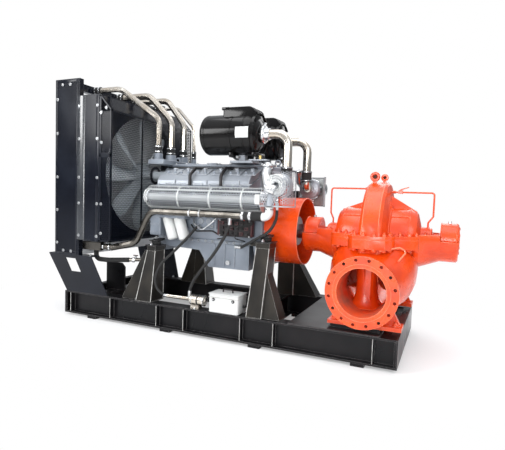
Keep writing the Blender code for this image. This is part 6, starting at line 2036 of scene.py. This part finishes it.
            # Liner of the bore, its orange partly painted light.
            form.lathe([(0, 0.1748), (0.33, 0.1748), (0.33, 0.1738), (0, 0.1738), (0, 0.1748)],
                       (0, side * (self.face - 0.006), self.nozzle), (0, -side, 0), Palette.PUMP_INSIDE, 56)
            for number in range(16):
                angle = FULL_TURN * (number + 0.5) / 16
                middle = Vector((0.235 * math.cos(angle), side * (self.face - 0.022),
                                 self.nozzle + 0.235 * math.sin(angle)))
                form.rod(middle, middle - Vector((0, side * 0.004, 0)), 0.0128,
                         Palette.EYE_SHADE if number % 4 == 1 else Palette.HOLE_SHADE, 12)
        nose = []
        for height, half, front in ((0.392, 0.150, -0.440), (0.408, 0.120, -0.425), (0.440, 0.092, -0.410),
                                    (0.500, 0.078, -0.400), (0.580, 0.074, -0.396), (0.660, 0.080, -0.390),
                                    (0.728, 0.090, -0.380)):
            turns = [math.radians(180 + 15 * step) for step in range(13)]
            ring = [(half * math.cos(t) - 0.022, front + 0.070 + 0.070 * math.sin(t), height) for t in turns]
            nose.append(ring + [(half - 0.022, -0.12, height), (-half - 0.022, -0.12, height)])
        form.loft(nose, Palette.PUMP)
        form.done("pump_red")

    def bearings(self) -> None:
        """End covers, rims, arm ribs and oil cups of both bearings."""
        form = Form("bearing_details")
        red = Palette.PUMP
        for side in BOTH:
            form.lathe([(0, 0.112), (0.005, 0.108), (0.005, 0.060), (0.008, 0.056), (0.008, 0.0)],
                       (side * self.bearing_end, 0, self.shaft), (side, 0, 0), red, 40)
            for place_x in (0.486, 0.596):
                form.torus((side * place_x, 0, self.shaft), (1, 0, 0), 0.1335, 0.0040, red, 48, 6)
            for height in (-0.060, -0.115):
                for sy in BOTH:
                    depth = math.sqrt(0.168 ** 2 - height ** 2)
                    form.prism([(side * 0.345, sy * (depth + 0.045), self.shaft + height * 1.25),
                                (side * 0.480, sy * (depth + 0.004), self.shaft + height),
                                (side * 0.480, sy * (depth - 0.020), self.shaft + height),
                                (side * 0.345, sy * (depth - 0.010), self.shaft + height * 1.25)],
                                (0, 0, 0.008), red)
            form.rod((side * 0.545, 0, self.shaft + 0.130), (side * 0.545, 0, self.shaft + 0.150), 0.012,
                     Palette.ZINC, 6)
            form.box((side * 0.545 - 0.060, -0.1715, self.shaft - 0.010), (side * 0.545 + 0.060, -0.1330,
                     self.shaft - 0.0003), red, 0.002)
            form.box((side * 0.545 - 0.060, 0.1330, self.shaft - 0.010), (side * 0.545 + 0.060, 0.1715,
                     self.shaft - 0.0003), red, 0.002)
        # Rim line of the casing in the lighter red of painted highlight.
        form.torus((-0.6205, 0, self.shaft), (1, 0, 0), 0.2935, 0.0035, Palette.PUMP_EDGE_HIGHLIGHT, 72, 6)
        form.done("pump_red")


@dataclass
class SkidDetail:
    """Welds, worn edges, mounts and bolts of the skid and its legs, and the white box's fittings."""

    half_width: float = 0.60
    beam_low: float = 0.025
    beam_top: float = 0.239
    ribs: tuple[float, ...] = (-2.797, -2.311, -1.791, -1.510, -0.970, -0.682, 0.086)
    legs: tuple[tuple[int, tuple[float, float], tuple[float, float], float], ...] = (
        (-1, (-2.022, -1.860), (-1.969, -1.883), 0.695),
        (1, (-2.022, -1.860), (-1.969, -1.883), 0.695),
        (-1, (-0.921, -0.791), (-0.888, -0.774), 0.800),
        (1, (-1.030, -0.860), (-1.010, -0.850), 0.800))

    def build(self) -> set[str]:
        """Make the details.

        Returns:
            Names of the construction nodes that they stand for.
        """
        self.welds()
        self.leg_lines()
        self.mounts()
        self.white_box()
        return set()

    def welds(self) -> None:
        """Weld beads where ribs meet the web, along the deck plate and on the end plates, and a black plate
        across the end bay that is painted shade.
        """
        form = Form("skid_welds_and_shade_plate")
        for side in BOTH:
            face = side * (self.half_width - 0.002)
            for place_x in self.ribs:
                for offset in (-0.007, 0.007):
                    form.rod((place_x + offset, side * 0.548, self.beam_low + 0.016),
                             (place_x + offset, side * 0.548, self.beam_top - 0.016), 0.005, Palette.SKID, 8)
            for low, high in ((-2.868, -2.845), (0.235, 0.258)):
                form.box((low, min(face, face - side * 0.05), self.beam_low + 0.014),
                         (high, max(face, face - side * 0.05), self.beam_top - 0.014), Palette.SKID, 0.002)
            form.rod((-0.558, side * 0.598, self.beam_top + 0.003),
                     (0.128, side * 0.598, self.beam_top + 0.003), 0.004, Palette.SKID, 8)
            for place_x in self.ribs:
                form.rod((place_x, side * 0.5990, self.beam_low + 0.016),
                         (place_x, side * 0.5990, self.beam_top - 0.016), 0.0022, Palette.LEG_LINE, 6)
        # Black plate across the end bay between the deck plate and the end beam: painted shade where the
        # floor under the skid lies in shadow.
        form.box((0.132, -0.590, 0.222), (0.246, 0.590, 0.232), Palette.SKID, 0.002)
        form.rod((-0.561, -0.59, self.beam_top + 0.004), (-0.561, 0.59, self.beam_top + 0.004), 0.005,
                 Palette.SKID, 8)
        form.rod((0.131, -0.59, self.beam_top + 0.004), (0.131, 0.59, self.beam_top + 0.004), 0.005,
                 Palette.SKID, 8)
        form.done("skid_black")

    def leg_lines(self) -> None:
        """Bare, pale weld lines down the corners of the four legs."""
        form = Form("leg_weld_lines")
        low = self.beam_top
        for side, foot, head, top in self.legs:
            for foot_x, head_x in zip(foot, head):
                form.rod((foot_x, side * 0.590, low), (head_x, side * 0.500, top), 0.0030, Palette.LEG_LINE,
                         8)
            form.rod((foot[1], side * 0.400, low), (head[1], side * 0.360, top), 0.0035, Palette.LEG_LINE, 8)
            form.tube([(foot[0], side * 0.592, low + 0.003), (foot[1], side * 0.592, low + 0.003),
                       (foot[1] + 0.002, side * 0.400, low + 0.003)], 0.005, Palette.LEG, 8)
        form.done("leg_grey")

    def mounts(self) -> None:
        """Black rubber mounts, their plates and bolts on top of the legs."""
        form = Form("engine_mounts")
        spots = []
        for side, _, head, top in self.legs:
            middle_x, middle_y = (head[0] + head[1]) / 2, side * 0.43
            form.box((head[0] - 0.018, min(side * 0.355, side * 0.515), top + 0.0402),
                     (head[1] + 0.018, max(side * 0.355, side * 0.515), top + 0.050), Palette.SKID, 0.003)
            form.lathe([(0, 0.040), (0.010, 0.046), (0.022, 0.046), (0.032, 0.038)],
                       (middle_x, middle_y, top + 0.050), (0, 0, 1), Palette.RUBBER, 28)
            form.box((middle_x - 0.045, middle_y - 0.045, top + 0.082), (middle_x + 0.045, middle_y + 0.045,
                     top + 0.092), Palette.SKID, 0.003)
            near, far = sorted((middle_y, side * 0.335))
            form.box((middle_x - 0.030, near, top + 0.084), (middle_x + 0.030, far, top + 0.104),
                     Palette.SKID, 0.004)
            spots += [((middle_x, middle_y, top + 0.104), (0, 0, 1)),
                      ((middle_x, side * 0.500, top + 0.050), (0, 0, 1)),
                      ((middle_x, side * 0.370, top + 0.050), (0, 0, 1))]
        form.done("skid_black")
        spots += [((x, side * 0.572, self.beam_top), (0, 0, 1)) for x in (-2.79, -2.40) for side in BOTH]
        spots += [((-1.41, y, self.beam_top), (0, 0, 1)) for y in (-0.572, -0.528)]
        Fasteners(0.022, 0.013, 0.015, 0.008).place("mount_bolts", spots, Palette.ZINC, "shaft_steel")

    def white_box(self) -> None:
        """Lid line, two round locks, a handle and a cable gland on the white box."""
        form = Form("battery_box_fittings")
        low, high = (-1.26, -0.60, 0.2393), (-0.99, -0.43, 0.3993)
        form.box((low[0] - 0.003, low[1] - 0.003, high[2] - 0.032),
                 (high[0] + 0.003, high[1] + 0.003, high[2] - 0.027), Palette.LEG_LINE, 0.001)
        form.box((low[0] - 0.004, low[1] - 0.004, high[2] - 0.004),
                 (high[0] + 0.004, high[1] + 0.004, high[2] + 0.004), Palette.WHITE, 0.003)
        for place_x in (-1.215, -1.035):
            form.lathe([(0, 0.013), (0.006, 0.013), (0.009, 0.009), (0.009, 0.0)], (place_x, low[1], 0.352),
                       (0, -1, 0), Palette.CONTROL, 20)
            form.rod((place_x, low[1] - 0.008, 0.352), (place_x, low[1] - 0.011, 0.352), 0.005,
                     Palette.BRIGHT, 12)
        form.tube(rounded([(-1.17, -0.515, 0.403), (-1.17, -0.515, 0.428), (-1.08, -0.515, 0.428),
                           (-1.08, -0.515, 0.403)], 0.012, 4), 0.006, Palette.CONTROL, 10)
        form.rod((-0.99, -0.50, 0.30), (-0.965, -0.50, 0.30), 0.012, Palette.RUBBER, 12)
        form.lathe([(-0.006, 0.047), (0.006, 0.047)], (-1.385, -0.55, 0.315), (1, 0, 0), Palette.CONTROL, 24)
        for place_x in (-1.445, -1.331):
            form.sleeve(0.0452, 0.0475, 0.006, (place_x, -0.55, 0.315), (1, 0, 0), Palette.BRIGHT, 28)
        form.done("white_paint")


def main() -> None:
    """Build the camera, the studio and every dressed piece in order."""
    logging.basicConfig(level=logging.INFO, format="%(message)s")
    PhotoCamera().build()
    handled = Hoses().build()
    Studio().build()
    for assembly in (RadiatorEnd(), ExhaustShields(), Turbochargers(), AirFilters(), EngineTop(),
                     EngineSide(), PumpDetail(), SkidDetail()):
        handled |= assembly.build()
    NodeDresser(handled).build()


if __name__ == "__main__":
    main()
